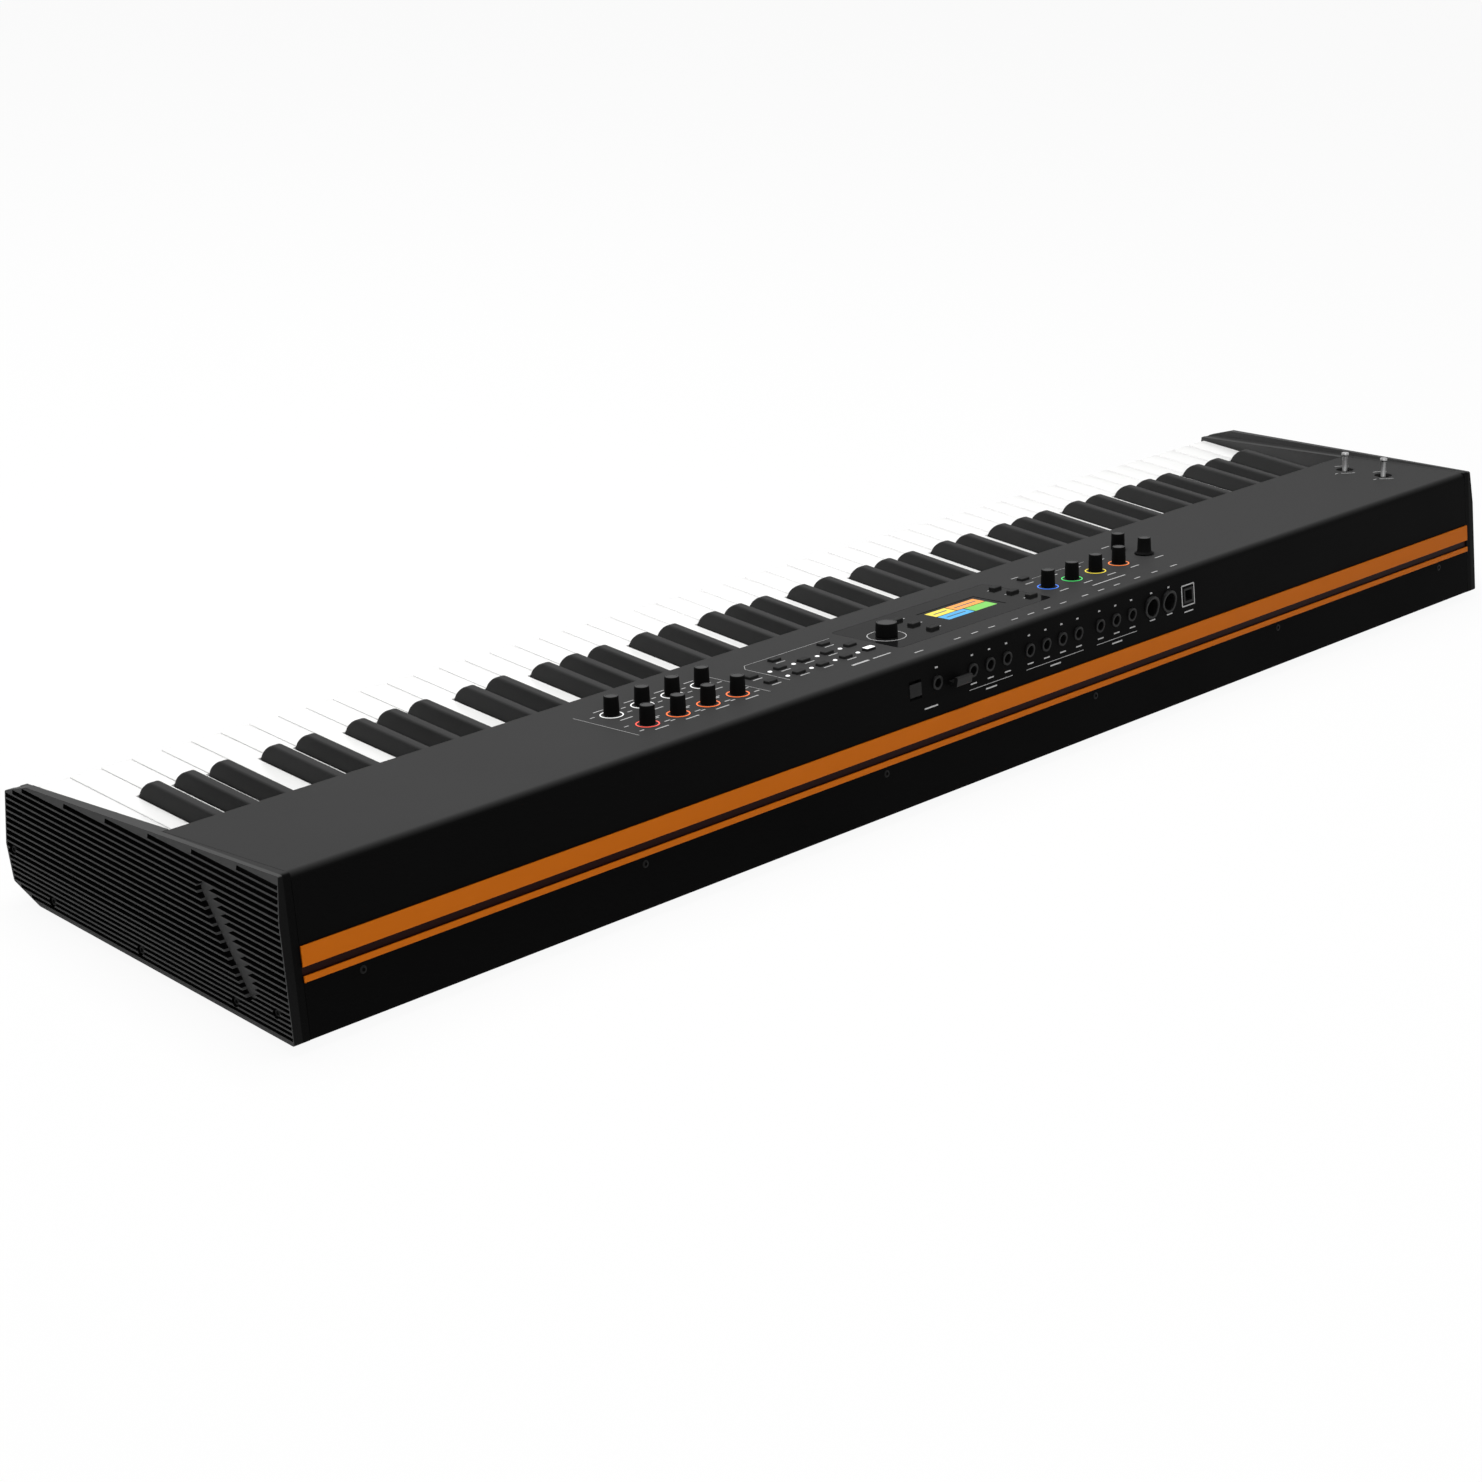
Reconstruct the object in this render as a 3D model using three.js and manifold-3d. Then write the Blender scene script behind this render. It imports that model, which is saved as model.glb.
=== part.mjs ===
// A stage piano with eighty-eight keys, in millimetres, +Z up.
// X runs from the bass end to the treble end, the player sits on the -Y side, and the feet stand on Z = 0.
import * as THREE from "three";
import { mergeVertices } from "three/addons/utils/BufferGeometryUtils.js";
import Module from "manifold-3d";

const wasm = await Module();
wasm.setup();

// Driving dimensions
const octavePitch = 164.5;
const overallDepth = 277;
const bodyHeight = 98.6;
const panelDrop = 32.6;
const panelDepth = 116.5;
const rearLean = 19.5;
const cheekWidth = 16.5;
const footHeight = 6;
const sheet = 2;
const keyDip = 10;
const clearance = 0.3;
const overrun = 1;

// The keyboard sets the width, and the panel's fall sets the height at the front
const naturalCount = 52;
const naturalsPerOctave = 7;
const keyboardMargin = 3.5;
const naturalPitch = octavePitch / naturalsPerOctave;
const keyboardWidth = naturalCount * naturalPitch;
const overallWidth = keyboardWidth + 2 * (cheekWidth + keyboardMargin);
const frontHeight = bodyHeight - panelDrop;

// Materials, one for each finish
const finish = (color, roughness, metalness = 0) =>
  new THREE.MeshStandardMaterial({ color, roughness, metalness });
const panelPaint = finish(0x4a4a4b, 0.55, 0.2);
const bodyPaint = finish(0x0c0c0d, 0.5, 0.2);
const trimPaint = finish(0xb45a08, 0.4, 0.5);
const cheekPlastic = finish(0x111112, 0.6);
const naturalPlastic = finish(0xf2f2ee, 0.3);
const sharpPlastic = finish(0x2b2b2c, 0.5);
const knobRubber = finish(0x0a0a0a, 0.7);
const buttonRubber = finish(0x1c1c1d, 0.6);
const stickMetal = finish(0xb9b9bb, 0.25, 1);
const glossBlack = finish(0x060607, 0.1);
const boardGreen = finish(0x12402a, 0.5);
const frameSteel = finish(0x8d9094, 0.4, 0.9);
const footRubber = finish(0x151515, 0.9);
const screenColour = finish(0x3a78b8, 0.2);

// Outline of the body, seen from the treble end, heights measured from the underside
const halfWidth = overallWidth / 2;
const frontY = -overallDepth / 2;
const rearY = overallDepth / 2;
const rearTopY = rearY - rearLean;
const panelSlope = (bodyHeight - frontHeight) / (rearTopY - frontY);
const panelAngle = Math.atan(panelSlope);
const wallSlope = rearLean / bodyHeight;
const wallAngle = Math.atan(wallSlope);
const lipY = rearTopY - panelDepth;
const frontFace = 35.4;
const frontStraight = frontHeight - frontFace;
const chinInset = 7.4;
const chinDepth = 34;
const chinHeight = 8;
const chinFootY = frontY + chinDepth;
const topAt = (y) => bodyHeight - (rearTopY - y) * panelSlope;
const wallAt = (z) => rearY - z * wallSlope;
const skinDrop = (thickness) => thickness / Math.cos(panelAngle);
const skinIn = (thickness) => thickness / Math.cos(wallAngle);
const frontOutline = [
  [frontY, frontHeight],
  [frontY, frontStraight],
  [frontY + chinInset, chinHeight],
  [chinFootY, 0],
];

// Places of the keys along the depth: they turn on a ridge far behind the lip of the cover
const keyInset = 1;
const keyThickness = 12;
const keySetback = 5.5;
const headLength = 50.1;
const pivotInset = 34;
const keyTail = 12;
const keyTop = frontHeight - keyInset;
const keyFoot = keyTop - keyThickness;
const keyFront = frontY + keySetback;
const sharpTip = keyFront + headLength;
const pivotY = rearTopY - pivotInset;
const keyRear = pivotY + keyTail;
const combBar = { depth: 4, drop: 8 };
const combRear = keyRear + combBar.depth;

// The slanted panel has its own frame: x along the length, y towards the rear edge, z out of the panel.
const panelFrame = new THREE.Matrix4()
  .makeTranslation(0, rearTopY, bodyHeight)
  .multiply(new THREE.Matrix4().makeRotationX(panelAngle));

// A closed three.js geometry becomes a solid that can be joined and cut.
function solidOf(geometry, frame = new THREE.Matrix4()) {
  const bare = geometry.index ? geometry.toNonIndexed() : geometry.clone();
  bare.deleteAttribute("normal");
  bare.deleteAttribute("uv");
  bare.applyMatrix4(frame);
  const merged = mergeVertices(bare);
  const corners = merged.index.array;
  const triangles = [];
  for (let i = 0; i < corners.length; i += 3) {
    const [a, b, c] = corners.slice(i, i + 3);
    if (a !== b && b !== c && c !== a) triangles.push(a, b, c);
  }
  const vertProperties = merged.attributes.position.array;
  const build = (triVerts) =>
    new wasm.Manifold(new wasm.Mesh({ numProp: 3, vertProperties, triVerts }));
  const solid = build(new Uint32Array(triangles));
  return solid.volume() > 0 ? solid : build(new Uint32Array(triangles.reverse()));
}

function geometryOf(solid) {
  const mesh = solid.getMesh();
  const geometry = new THREE.BufferGeometry();
  const places = new Float32Array(mesh.vertProperties);
  geometry.setAttribute("position", new THREE.BufferAttribute(places, 3));
  geometry.setIndex(new THREE.BufferAttribute(new Uint32Array(mesh.triVerts), 1));
  const faceted = geometry.toNonIndexed();
  faceted.computeVertexNormals();
  return faceted;
}

const join = (solids) => solids.reduce((whole, next) => whole.add(next));
const cut = (solid, tools) => tools.reduce((rest, tool) => rest.subtract(tool), solid);

// A block between two corners
function block(low, high, frame) {
  const size = high.map((value, axis) => value - low[axis]);
  const middle = high.map((value, axis) => (value + low[axis]) / 2);
  return solidOf(new THREE.BoxGeometry(...size).translate(...middle), frame);
}

// A (y, z) outline drawn out along x
function prismX(points, fromX, toX, frame) {
  const shape = new THREE.Shape(points.map(([y, z]) => new THREE.Vector2(y, z)));
  const geometry = new THREE.ExtrudeGeometry(shape, {
    depth: toX - fromX,
    bevelEnabled: false,
  });
  const turn = new THREE.Matrix4().makeBasis(
    new THREE.Vector3(0, 1, 0),
    new THREE.Vector3(0, 0, 1),
    new THREE.Vector3(1, 0, 0),
  );
  return solidOf(geometry.applyMatrix4(turn).translate(fromX, 0, 0), frame);
}

// A (radius, height) profile turned about z
function turned(profile, sides = 16, frame) {
  const points = profile.map(([radius, height]) => new THREE.Vector2(radius, height));
  const geometry = new THREE.LatheGeometry(points, sides).rotateX(Math.PI / 2);
  return solidOf(geometry, frame);
}

// A round bar along an axis from one place to another
function bar(axis, radius, from, to, place, sides = 12, frame = new THREE.Matrix4()) {
  const geometry = new THREE.CylinderGeometry(radius, radius, to - from, sides);
  if (axis === "x") geometry.rotateZ(-Math.PI / 2);
  if (axis === "z") geometry.rotateX(Math.PI / 2);
  const middle = (from + to) / 2;
  const offset = { x: [middle, 0, 0], y: [0, middle, 0], z: [0, 0, middle] }[axis];
  geometry.translate(...offset).translate(...place);
  return solidOf(geometry, frame);
}

const piano = new THREE.Group();
const body = new THREE.Group();
body.position.z = footHeight;
const panel = new THREE.Group();
panel.applyMatrix4(panelFrame);
piano.add(body);
body.add(panel);

function addPiece(parent, name, solid, material, place = [0, 0, 0]) {
  const mesh = new THREE.Mesh(geometryOf(solid), material);
  mesh.name = name;
  mesh.position.set(...place);
  parent.add(mesh);
}

// Places of the controls on the panel: x along the length, and how far in front of the rear edge
const series = ({ first, pitch, count }) => Array.from({ length: count }, (_, n) => first - n * pitch);
const effectKnobs = { first: 293, pitch: 28, count: 4, rows: [74, 41.3] };
const zoneKnobs = { first: -129, pitch: 28.4, count: 4, row: 48.9 };
const volumeKnob = [-248, 50.4];
const selectKnob = [-247.3, 74.5];
const menuKnob = [42.8, 55.9];
const stickFromEnd = 55;
const stickX = stickFromEnd - halfWidth;
const stickRows = { front: 87.2, rear: 50.1 };
const soundGrid = { first: 148, pitch: 23.7, count: 4 };
const soundColumns = series(soundGrid);
const buttonRows = [76, 59.8, 42.6];
const soundBracketColumns = [136, 86.3];
const effectButtonX = 176;
const displayLeftX = 9;
const displayRightX = -101.5;
const zoneButtonX = -134;
const screen = { left: -75.5, right: -11.5, front: 75.5, rear: 44.5 };
const overlay = { left: -107, right: 61, front: 92, rear: 28, thickness: 0.9 };

// Knobs: a soft cap on a shaft that drops through the panel into an encoder housing
const shaftRadius = 3;
const shaftDepth = 8;
const knobGap = 0.6;
const housingTop = 3.4;
const smallKnob = { top: 4.9, base: 5.3, height: 13 };
const flaredKnob = { top: 4.9, waist: 5.3, skirt: 7.4, skirtHeight: 2, height: 13 };
const menuCap = { top: 7.6, base: 7.9, height: 10 };
const capKnob = ({ top, base, height }) =>
  turned([
    [0, -shaftDepth],
    [shaftRadius, -shaftDepth],
    [shaftRadius, knobGap],
    [base, knobGap],
    [top, height],
    [0, height],
  ]);
const skirtedKnob = ({ top, waist, skirt, skirtHeight, height }) =>
  turned([
    [0, -shaftDepth],
    [shaftRadius, -shaftDepth],
    [shaftRadius, knobGap],
    [skirt, knobGap],
    [waist, skirtHeight],
    [top, height],
    [0, height],
  ]);

const rotaries = [];
function addKnob(name, solid, [x, row]) {
  addPiece(panel, name, solid, knobRubber, [x, -row, 0]);
  rotaries.push([x, row]);
}
effectKnobs.rows.forEach((row, line) =>
  series(effectKnobs).forEach((x, column) => {
    const number = line * effectKnobs.count + column + 1;
    addKnob("effect_knob_" + number, capKnob(smallKnob), [x, row]);
  }),
);
series(zoneKnobs).forEach((x, column) =>
  addKnob("zone_knob_" + (column + 1), capKnob(smallKnob), [x, zoneKnobs.row]),
);
addKnob("select_knob", capKnob(smallKnob), selectKnob);
addKnob("volume_knob", skirtedKnob(flaredKnob), volumeKnob);
addKnob("menu_knob", capKnob(menuCap), menuKnob);

// Buttons: caps on a shared moulded carrier under the panel
const button = { width: 9, length: 5.5, rise: 1.8, border: 1.6, travel: 0.8, carrierTop: 4.2, carrier: 1.2 };
const carrierFoot = button.carrierTop + button.carrier;
const capBlock = (x, row, grow, low, high) =>
  block(
    [x - button.width / 2 - grow, -row - button.length / 2 - grow, low],
    [x + button.width / 2 + grow, -row + button.length / 2 + grow, high],
  );
const buttonPlaces = [];
function addButtons(name, places) {
  const caps = places.map(([x, row]) => capBlock(x, row, 0, -carrierFoot, button.rise));
  const xs = places.map(([x]) => x);
  const rows = places.map(([, row]) => row);
  const sideways = button.width / 2 + button.border;
  const along = button.length / 2 + button.border;
  const carrier = block(
    [Math.min(...xs) - sideways, -Math.max(...rows) - along, -carrierFoot],
    [Math.max(...xs) + sideways, -Math.min(...rows) + along, -button.carrierTop],
  );
  addPiece(panel, name, join([carrier, ...caps]), buttonRubber);
  buttonPlaces.push(...places);
}
const [frontRow, middleRow, backRow] = buttonRows;
const grid = (columns, rows) => columns.flatMap((x) => rows.map((row) => [x, row]));
addButtons("sound_buttons", [
  ...grid(soundBracketColumns, [frontRow]),
  ...grid(soundColumns, [middleRow, backRow]),
]);
addButtons("effect_buttons", grid([effectButtonX], [middleRow, backRow]));
addButtons("display_left_buttons", grid([displayLeftX], buttonRows));
addButtons("display_right_buttons", grid([displayRightX], buttonRows));
addButtons("zone_button", grid([zoneButtonX], [frontRow]));

// The circuit board under the panel, with an encoder housing for each knob and a switch for each button
const boardTop = 10;
const boardThickness = 1.6;
const boardMargin = 19;
const boardBorder = 3;
const board = {
  left: volumeKnob[0] - boardMargin,
  right: effectKnobs.first + boardMargin,
  front: overlay.front + boardBorder,
  rear: overlay.rear,
};
const housing = { half: 6.2, boreDepth: 5.5 };
const keySwitch = { half: 3, top: carrierFoot + button.travel + clearance };
const boardPlate = block(
  [board.left, -board.front, -boardTop - boardThickness],
  [board.right, -board.rear, -boardTop],
);
const standing = (x, row, half, top) =>
  block([x - half, -row - half, -boardTop - boardThickness / 2], [x + half, -row + half, -top]);
const housings = rotaries.map(([x, row]) => standing(x, row, housing.half, housingTop));
const switches = buttonPlaces.map(([x, row]) => standing(x, row, keySwitch.half, keySwitch.top));
const shaftBore = shaftRadius + clearance;
const bores = rotaries.map(([x, row]) =>
  bar("z", shaftBore, -housingTop - housing.boreDepth, -housingTop + overrun, [x, -row, 0]),
);
addPiece(
  panel,
  "main_board",
  cut(join([boardPlate, ...housings, ...switches]), bores),
  boardGreen,
);

// The colour display stands on the board and fills the window of the glossy overlay
const displayBase = { border: 4, top: 4.2 };
const displayInset = 0.25;
const displayFace = block(
  [screen.left + clearance, -screen.front + clearance, -displayBase.top - overrun],
  [screen.right - clearance, -screen.rear - clearance, -displayInset],
);
const displayBody = block(
  [screen.left - displayBase.border, -screen.front - displayBase.border, -boardTop + clearance],
  [screen.right + displayBase.border, -screen.rear + displayBase.border, -displayBase.top],
);
addPiece(panel, "display_module", displayFace.add(displayBody), screenColour);

const screenWindow = (depth) =>
  block([screen.left, -screen.front, -depth], [screen.right, -screen.rear, overrun]);
const menuHole = bar(
  "z",
  shaftRadius + 2 * clearance,
  -sheet - overrun,
  overrun,
  [menuKnob[0], -menuKnob[1], 0],
);
const onOverlay = ([x]) => x > overlay.left && x < overlay.right;
const buttonHole = ([x, row]) => capBlock(x, row, clearance, -sheet - overrun, overrun);
addPiece(
  panel,
  "control_overlay",
  cut(
    block(
      [overlay.left, -overlay.front, -overlay.thickness],
      [overlay.right, -overlay.rear, 0],
    ),
    [screenWindow(sheet + overrun), menuHole, ...buttonPlaces.filter(onOverlay).map(buttonHole)],
  ),
  glossBlack,
);

// Two spring-centred sticks, each carried by a gimbal ring on lugs under the panel
const stick = { shaft: 2.2, head: 3, headHeight: 2, rise: 14.5, opening: 7.2, hub: 4.6 };
const gimbal = { depth: 10, inner: 7.4, outer: 10.6, half: 2.2, pin: 1.5 };
const lug = { gap: 0.6, width: 3, half: 3.6, foot: 14 };
const lugInside = gimbal.outer + lug.gap;
const lugOutside = lugInside + lug.width;
const pinBore = gimbal.pin + clearance;
const ringBand = turned(
  [
    [gimbal.inner, -gimbal.half],
    [gimbal.outer, -gimbal.half],
    [gimbal.outer, gimbal.half],
    [gimbal.inner, gimbal.half],
    [gimbal.inner, -gimbal.half],
  ],
);
const pinSides = 10;
const ringMiddle = (gimbal.inner + gimbal.outer) / 2;
const sidePins = [-1, 1].map((side) => {
  const ends = [side * ringMiddle, side * (lugOutside - clearance)].sort((a, b) => a - b);
  return bar("x", gimbal.pin, ...ends, [0, 0, 0], pinSides);
});
const crossReach = gimbal.outer + overrun;
const crossBore = bar("y", pinBore, -crossReach, crossReach, [0, 0, 0], pinSides);
const ring = join([ringBand, ...sidePins]).subtract(crossBore);
const crossPin = bar("y", gimbal.pin, -ringMiddle, ringMiddle, [0, 0, 0], pinSides);
const stickBody = turned([
  [0, -gimbal.half],
  [stick.hub, -gimbal.half],
  [stick.hub, gimbal.half],
  [stick.shaft, gimbal.half + stick.headHeight],
  [stick.shaft, gimbal.depth + stick.rise - stick.headHeight],
  [stick.head, gimbal.depth + stick.rise - stick.headHeight],
  [stick.head, gimbal.depth + stick.rise],
  [0, gimbal.depth + stick.rise],
]);
for (const [side, row] of Object.entries(stickRows)) {
  const place = [stickX, -row, -gimbal.depth];
  addPiece(panel, "gimbal_ring_" + side, ring, frameSteel, place);
  addPiece(panel, "stick_" + side, stickBody.add(crossPin), stickMetal, place);
}

// Folded cover: front lip, slanted panel, rounded rear edge and upper rear wall
const bendRadius = 6;
const bendSteps = 5;
const lipDepth = 5.25;
const lipFoot = topAt(lipY) - lipDepth;
const trimDrop = 42.6;
const trimHeight = 21.3;
const trimTop = bodyHeight - trimDrop;
const trimFoot = trimTop - trimHeight;
const panelDirection = new THREE.Vector2(-Math.cos(panelAngle), -Math.sin(panelAngle));
const wallDirection = new THREE.Vector2(Math.sin(wallAngle), -Math.cos(wallAngle));
const halfBend = Math.acos(panelDirection.dot(wallDirection)) / 2;
const bendCentre = panelDirection
  .clone()
  .add(wallDirection)
  .setLength(bendRadius / Math.sin(halfBend))
  .add(new THREE.Vector2(rearTopY, bodyHeight));
function bendArc(radius) {
  const start = Math.PI / 2 + panelAngle;
  const end = wallAngle;
  return Array.from({ length: bendSteps + 1 }, (_, step) => {
    const angle = start + ((end - start) * step) / bendSteps;
    return [bendCentre.x + radius * Math.cos(angle), bendCentre.y + radius * Math.sin(angle)];
  });
}
const coverFoot = trimTop + clearance;
const coverProfile = [
  [lipY, lipFoot],
  [lipY, topAt(lipY)],
  ...bendArc(bendRadius),
  [wallAt(coverFoot), coverFoot],
  [wallAt(coverFoot) - skinIn(sheet), coverFoot],
  ...bendArc(bendRadius - sheet).reverse(),
  [lipY + sheet, topAt(lipY + sheet) - skinDrop(sheet)],
  [lipY + sheet, lipFoot],
];

// Each cheek is an outer plate and a thinner tongue that the cover, trim and tray close over
const tongueWidth = 5;
const cheekFace = halfWidth - cheekWidth;
const plateFace = cheekFace + tongueWidth;
const shellHalf = plateFace - clearance;
const skin = sheet + clearance;
const tongueChamfer = 4;
const wallInsideAt = (z) => wallAt(z) - skinIn(skin);
const tongueCorner = (bodyHeight + (rearLean - skinIn(skin)) * panelSlope - skinDrop(skin)) /
  (1 + wallSlope * panelSlope);
const tongueOutline = (grow) => [
  [frontY, frontHeight],
  [frontY, frontStraight],
  [frontY + chinInset, chinHeight],
  [chinFootY, 0],
  [wallInsideAt(0) + grow, 0],
  [wallInsideAt(tongueCorner - tongueChamfer) + grow, tongueCorner - tongueChamfer],
  [wallInsideAt(tongueCorner) - tongueChamfer, topAt(wallInsideAt(tongueCorner) - tongueChamfer) -
    skinDrop(skin) + grow],
  [lipY - clearance + grow, topAt(lipY) - skinDrop(skin) + grow],
  [lipY - clearance + grow, topAt(lipY - clearance + grow)],
];
const cheekOutline = [...frontOutline, [rearY, 0], [rearTopY, bodyHeight]];
const facet = { drop: 26, inset: 6 };
// A large block whose inner face lies on the plane through three points
function outsideOf(side, start, along, high) {
  const direction = along.clone().sub(start).normalize();
  const outward = direction.clone().cross(high.clone().sub(start)).normalize();
  if (Math.sign(outward.x) !== side) outward.negate();
  const across = outward.clone().cross(direction);
  const frame = new THREE.Matrix4().makeBasis(direction, across, outward).setPosition(start);
  const size = 2 * overallDepth;
  return solidOf(new THREE.BoxGeometry(size, size, size).translate(0, 0, size / 2), frame);
}
for (const [name, side] of [["left_cheek", -1], ["right_cheek", 1]]) {
  const between = (a, b) => [side * a, side * b].sort((low, high) => low - high);
  const plate = prismX(cheekOutline, ...between(plateFace, halfWidth));
  const tongue = prismX(tongueOutline(0), ...between(cheekFace, plateFace + clearance));
  // The outer face leans in along the top, from nothing at the front to the full inset at the rear
  const lowRear = bodyHeight - facet.drop;
  const leaning = outsideOf(
    side,
    new THREE.Vector3(side * halfWidth, frontY, frontHeight),
    new THREE.Vector3(side * halfWidth, wallAt(lowRear), lowRear),
    new THREE.Vector3(side * (halfWidth - facet.inset), rearTopY, bodyHeight),
  );
  addPiece(body, name, plate.add(tongue).subtract(leaning), cheekPlastic);
}
const tongueRoom = [-1, 1].map((side) => {
  const [from, to] = [side * (cheekFace - clearance), side * (halfWidth + overrun)].sort(
    (low, high) => low - high,
  );
  return prismX(tongueOutline(clearance), from, to);
});

// Rear sockets, heights from the underside and places along the length
const socketDrop = 20.1;
const socketHeight = bodyHeight - socketDrop;
const pedalJacks = { first: 19, pitch: 18.7, count: 3 };
const inputJacks = { first: -44, pitch: 18.5, count: 4 };
const outputJacks = { first: -125, pitch: 19, count: 3 };
const dinSockets = { first: -187.5, pitch: 21.2, count: 2 };
const usbX = -232.4;
const inletX = 57;
const switchX = 80;
const jack = { bore: 3.4, nose: 4.9, half: 7, depth: 14 };
const din = { bore: 6.6, nose: 8.4, half: 9.4, depth: 10 };
const inlet = { bore: 3.3, nose: 5, half: 6.5, depth: 10 };
const usb = { half: 6.9, halfWidth: 5.9, halfHeight: 5.4, mouthWidth: 4.2, mouthHeight: 3.9, depth: 10 };
const socketInset = 4.8;
const socketLength = 16.2;
const socketFront = wallAt(socketHeight) - socketInset;
const socketBack = socketFront - socketLength;
const noseProud = 0.6;
const jackBoardDrop = 9.9;
const jackBoardMargin = 16;
const jackBoard = {
  left: usbX - jackBoardMargin,
  right: switchX + jackBoardMargin,
  front: combRear + overrun,
  rear: socketFront - overrun,
  top: socketHeight - jackBoardDrop,
};
const rounds = [
  ...[pedalJacks, inputJacks, outputJacks].flatMap(series).map((x) => ({ x, ...jack })),
  ...series(dinSockets).map((x) => ({ x, ...din })),
  { x: inletX, ...inlet },
];
const noseEnd = wallAt(0);
const noseAt = (x, radius, from, to) => bar("y", radius, from, to, [x, 0, socketHeight]);
const wallHoles = rounds.map(({ x, nose }) =>
  noseAt(x, nose + clearance, socketFront - overrun, noseEnd),
);
const usbBlock = (grow, from, to) =>
  block(
    [usbX - usb.halfWidth - grow, from, socketHeight - usb.halfHeight - grow],
    [usbX + usb.halfWidth + grow, to, socketHeight + usb.halfHeight + grow],
  );
wallHoles.push(usbBlock(clearance, socketFront - overrun, noseEnd));
const rocker = { half: 6, height: 9, room: 13, face: 1.2, pressed: 1.8, pivotIn: 4.5, barrel: 2.2, cradle: 1.5 };
wallHoles.push(
  block(
    [switchX - rocker.half - clearance, socketFront - overrun, socketHeight - rocker.room / 2],
    [switchX + rocker.half + clearance, noseEnd, socketHeight + rocker.room / 2],
  ),
);

// Noses are trimmed to the leaning wall, a little proud of it
const behindWall = (proud) =>
  prismX(
    [
      [socketBack, 0],
      [wallAt(0) + proud, 0],
      [wallAt(bodyHeight) + proud, bodyHeight],
      [socketBack, bodyHeight],
    ],
    -halfWidth,
    halfWidth,
  );
const noses = join([
  ...rounds.map(({ x, nose }) => noseAt(x, nose, socketFront - overrun, noseEnd)),
  usbBlock(0, socketFront - overrun, noseEnd),
]).intersect(behindWall(noseProud));
const socketBlock = (x, half) =>
  block(
    [x - half, socketBack, jackBoard.top - boardThickness / 2],
    [x + half, socketFront, socketHeight + half - overrun],
  );
const mouthBore = ({ x, bore, depth }) => noseAt(x, bore, rearTopY - depth, noseEnd);
const usbMouth = block(
  [usbX - usb.mouthWidth, rearTopY - usb.depth, socketHeight - usb.mouthHeight],
  [usbX + usb.mouthWidth, noseEnd, socketHeight + usb.mouthHeight],
);
const rockerPivotY = wallAt(socketHeight) - rocker.pivotIn;
const cradle = block(
  [switchX - rocker.half, socketBack, jackBoard.top - boardThickness / 2],
  [switchX + rocker.half, rockerPivotY - rocker.cradle, socketHeight + rocker.height / 2],
);
const barrelRoom = bar(
  "x",
  rocker.barrel + clearance,
  switchX - rocker.half - overrun,
  switchX + rocker.half + overrun,
  [0, rockerPivotY, socketHeight],
);
const jackPlate = block(
  [jackBoard.left, jackBoard.front, jackBoard.top - boardThickness],
  [jackBoard.right, jackBoard.rear, jackBoard.top],
);
addPiece(
  body,
  "jack_board",
  cut(
    join([
      jackPlate,
      noses,
      ...rounds.map(({ x, half }) => socketBlock(x, half)),
      socketBlock(usbX, usb.half),
      cradle,
    ]),
    [...rounds.map(mouthBore), usbMouth, barrelRoom],
  ),
  boardGreen,
);

// Power rocker: a barrel in a cradle with a tilted finger plate
const rockerProfile = [
  [rockerPivotY, socketHeight - rocker.barrel],
  [wallAt(socketHeight) + rocker.face, socketHeight - rocker.height / 2],
  [wallAt(socketHeight) + rocker.face - rocker.pressed, socketHeight + rocker.height / 2],
  [rockerPivotY, socketHeight + rocker.barrel],
];
addPiece(
  body,
  "power_switch",
  prismX(rockerProfile, switchX - rocker.half, switchX + rocker.half).add(
    bar("x", rocker.barrel, switchX - rocker.half, switchX + rocker.half, [
      0,
      rockerPivotY,
      socketHeight,
    ]),
  ),
  buttonRubber,
);

// Cable hook beside the power inlet, and posts that carry the board and the gimbals
const hookDrop = 4.5;
const hook = { x: 37, half: 8, reach: 7, thickness: 3, lip: 7, height: socketHeight - hookDrop };
const hookFoot = wallAt(hook.height);
const hookBar = block(
  [hook.x - hook.half, hookFoot - sheet / 2, hook.height],
  [hook.x + hook.half, hookFoot + hook.reach, hook.height + hook.thickness],
);
const hookLip = block(
  [hook.x - hook.half, hookFoot + hook.reach - hook.thickness, hook.height],
  [hook.x + hook.half, hookFoot + hook.reach, hook.height + hook.lip],
);
const post = { radius: 3, inset: 6 };
const postXs = [
  board.left + post.inset,
  (screen.left + screen.right) / 2,
  (effectButtonX + Math.min(...series(effectKnobs))) / 2,
  board.right - post.inset,
];
const postRows = [board.rear + post.radius, board.front - post.radius];
const posts = grid(postXs, postRows).map(([x, row]) =>
  bar("z", post.radius, -boardTop + clearance, -sheet / 2, [x, -row, 0], 10, panelFrame),
);
const lugs = Object.values(stickRows).flatMap((row) =>
  [-1, 1].map((side) => {
    const [from, to] = [side * lugInside, side * lugOutside].sort((low, high) => low - high);
    return block(
      [stickX + from, -row - lug.half, -lug.foot],
      [stickX + to, -row + lug.half, -sheet / 2],
      panelFrame,
    );
  }),
);
const lugBores = Object.values(stickRows).map((row) =>
  bar(
    "x",
    pinBore,
    stickX - lugOutside - overrun,
    stickX + lugOutside + overrun,
    [0, -row, -gimbal.depth],
    pinSides,
    panelFrame,
  ),
);
const stickHoles = Object.values(stickRows).map((row) =>
  bar("z", stick.opening, -sheet - overrun, overrun, [stickX, -row, 0], 16, panelFrame),
);
const shaftHoles = rotaries.map(([x, row]) =>
  bar("z", shaftBore + clearance, -sheet - overrun, overrun, [x, -row, 0], 12, panelFrame),
);
const throughPanel = (solid) => solidOf(geometryOf(solid), panelFrame);
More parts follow.
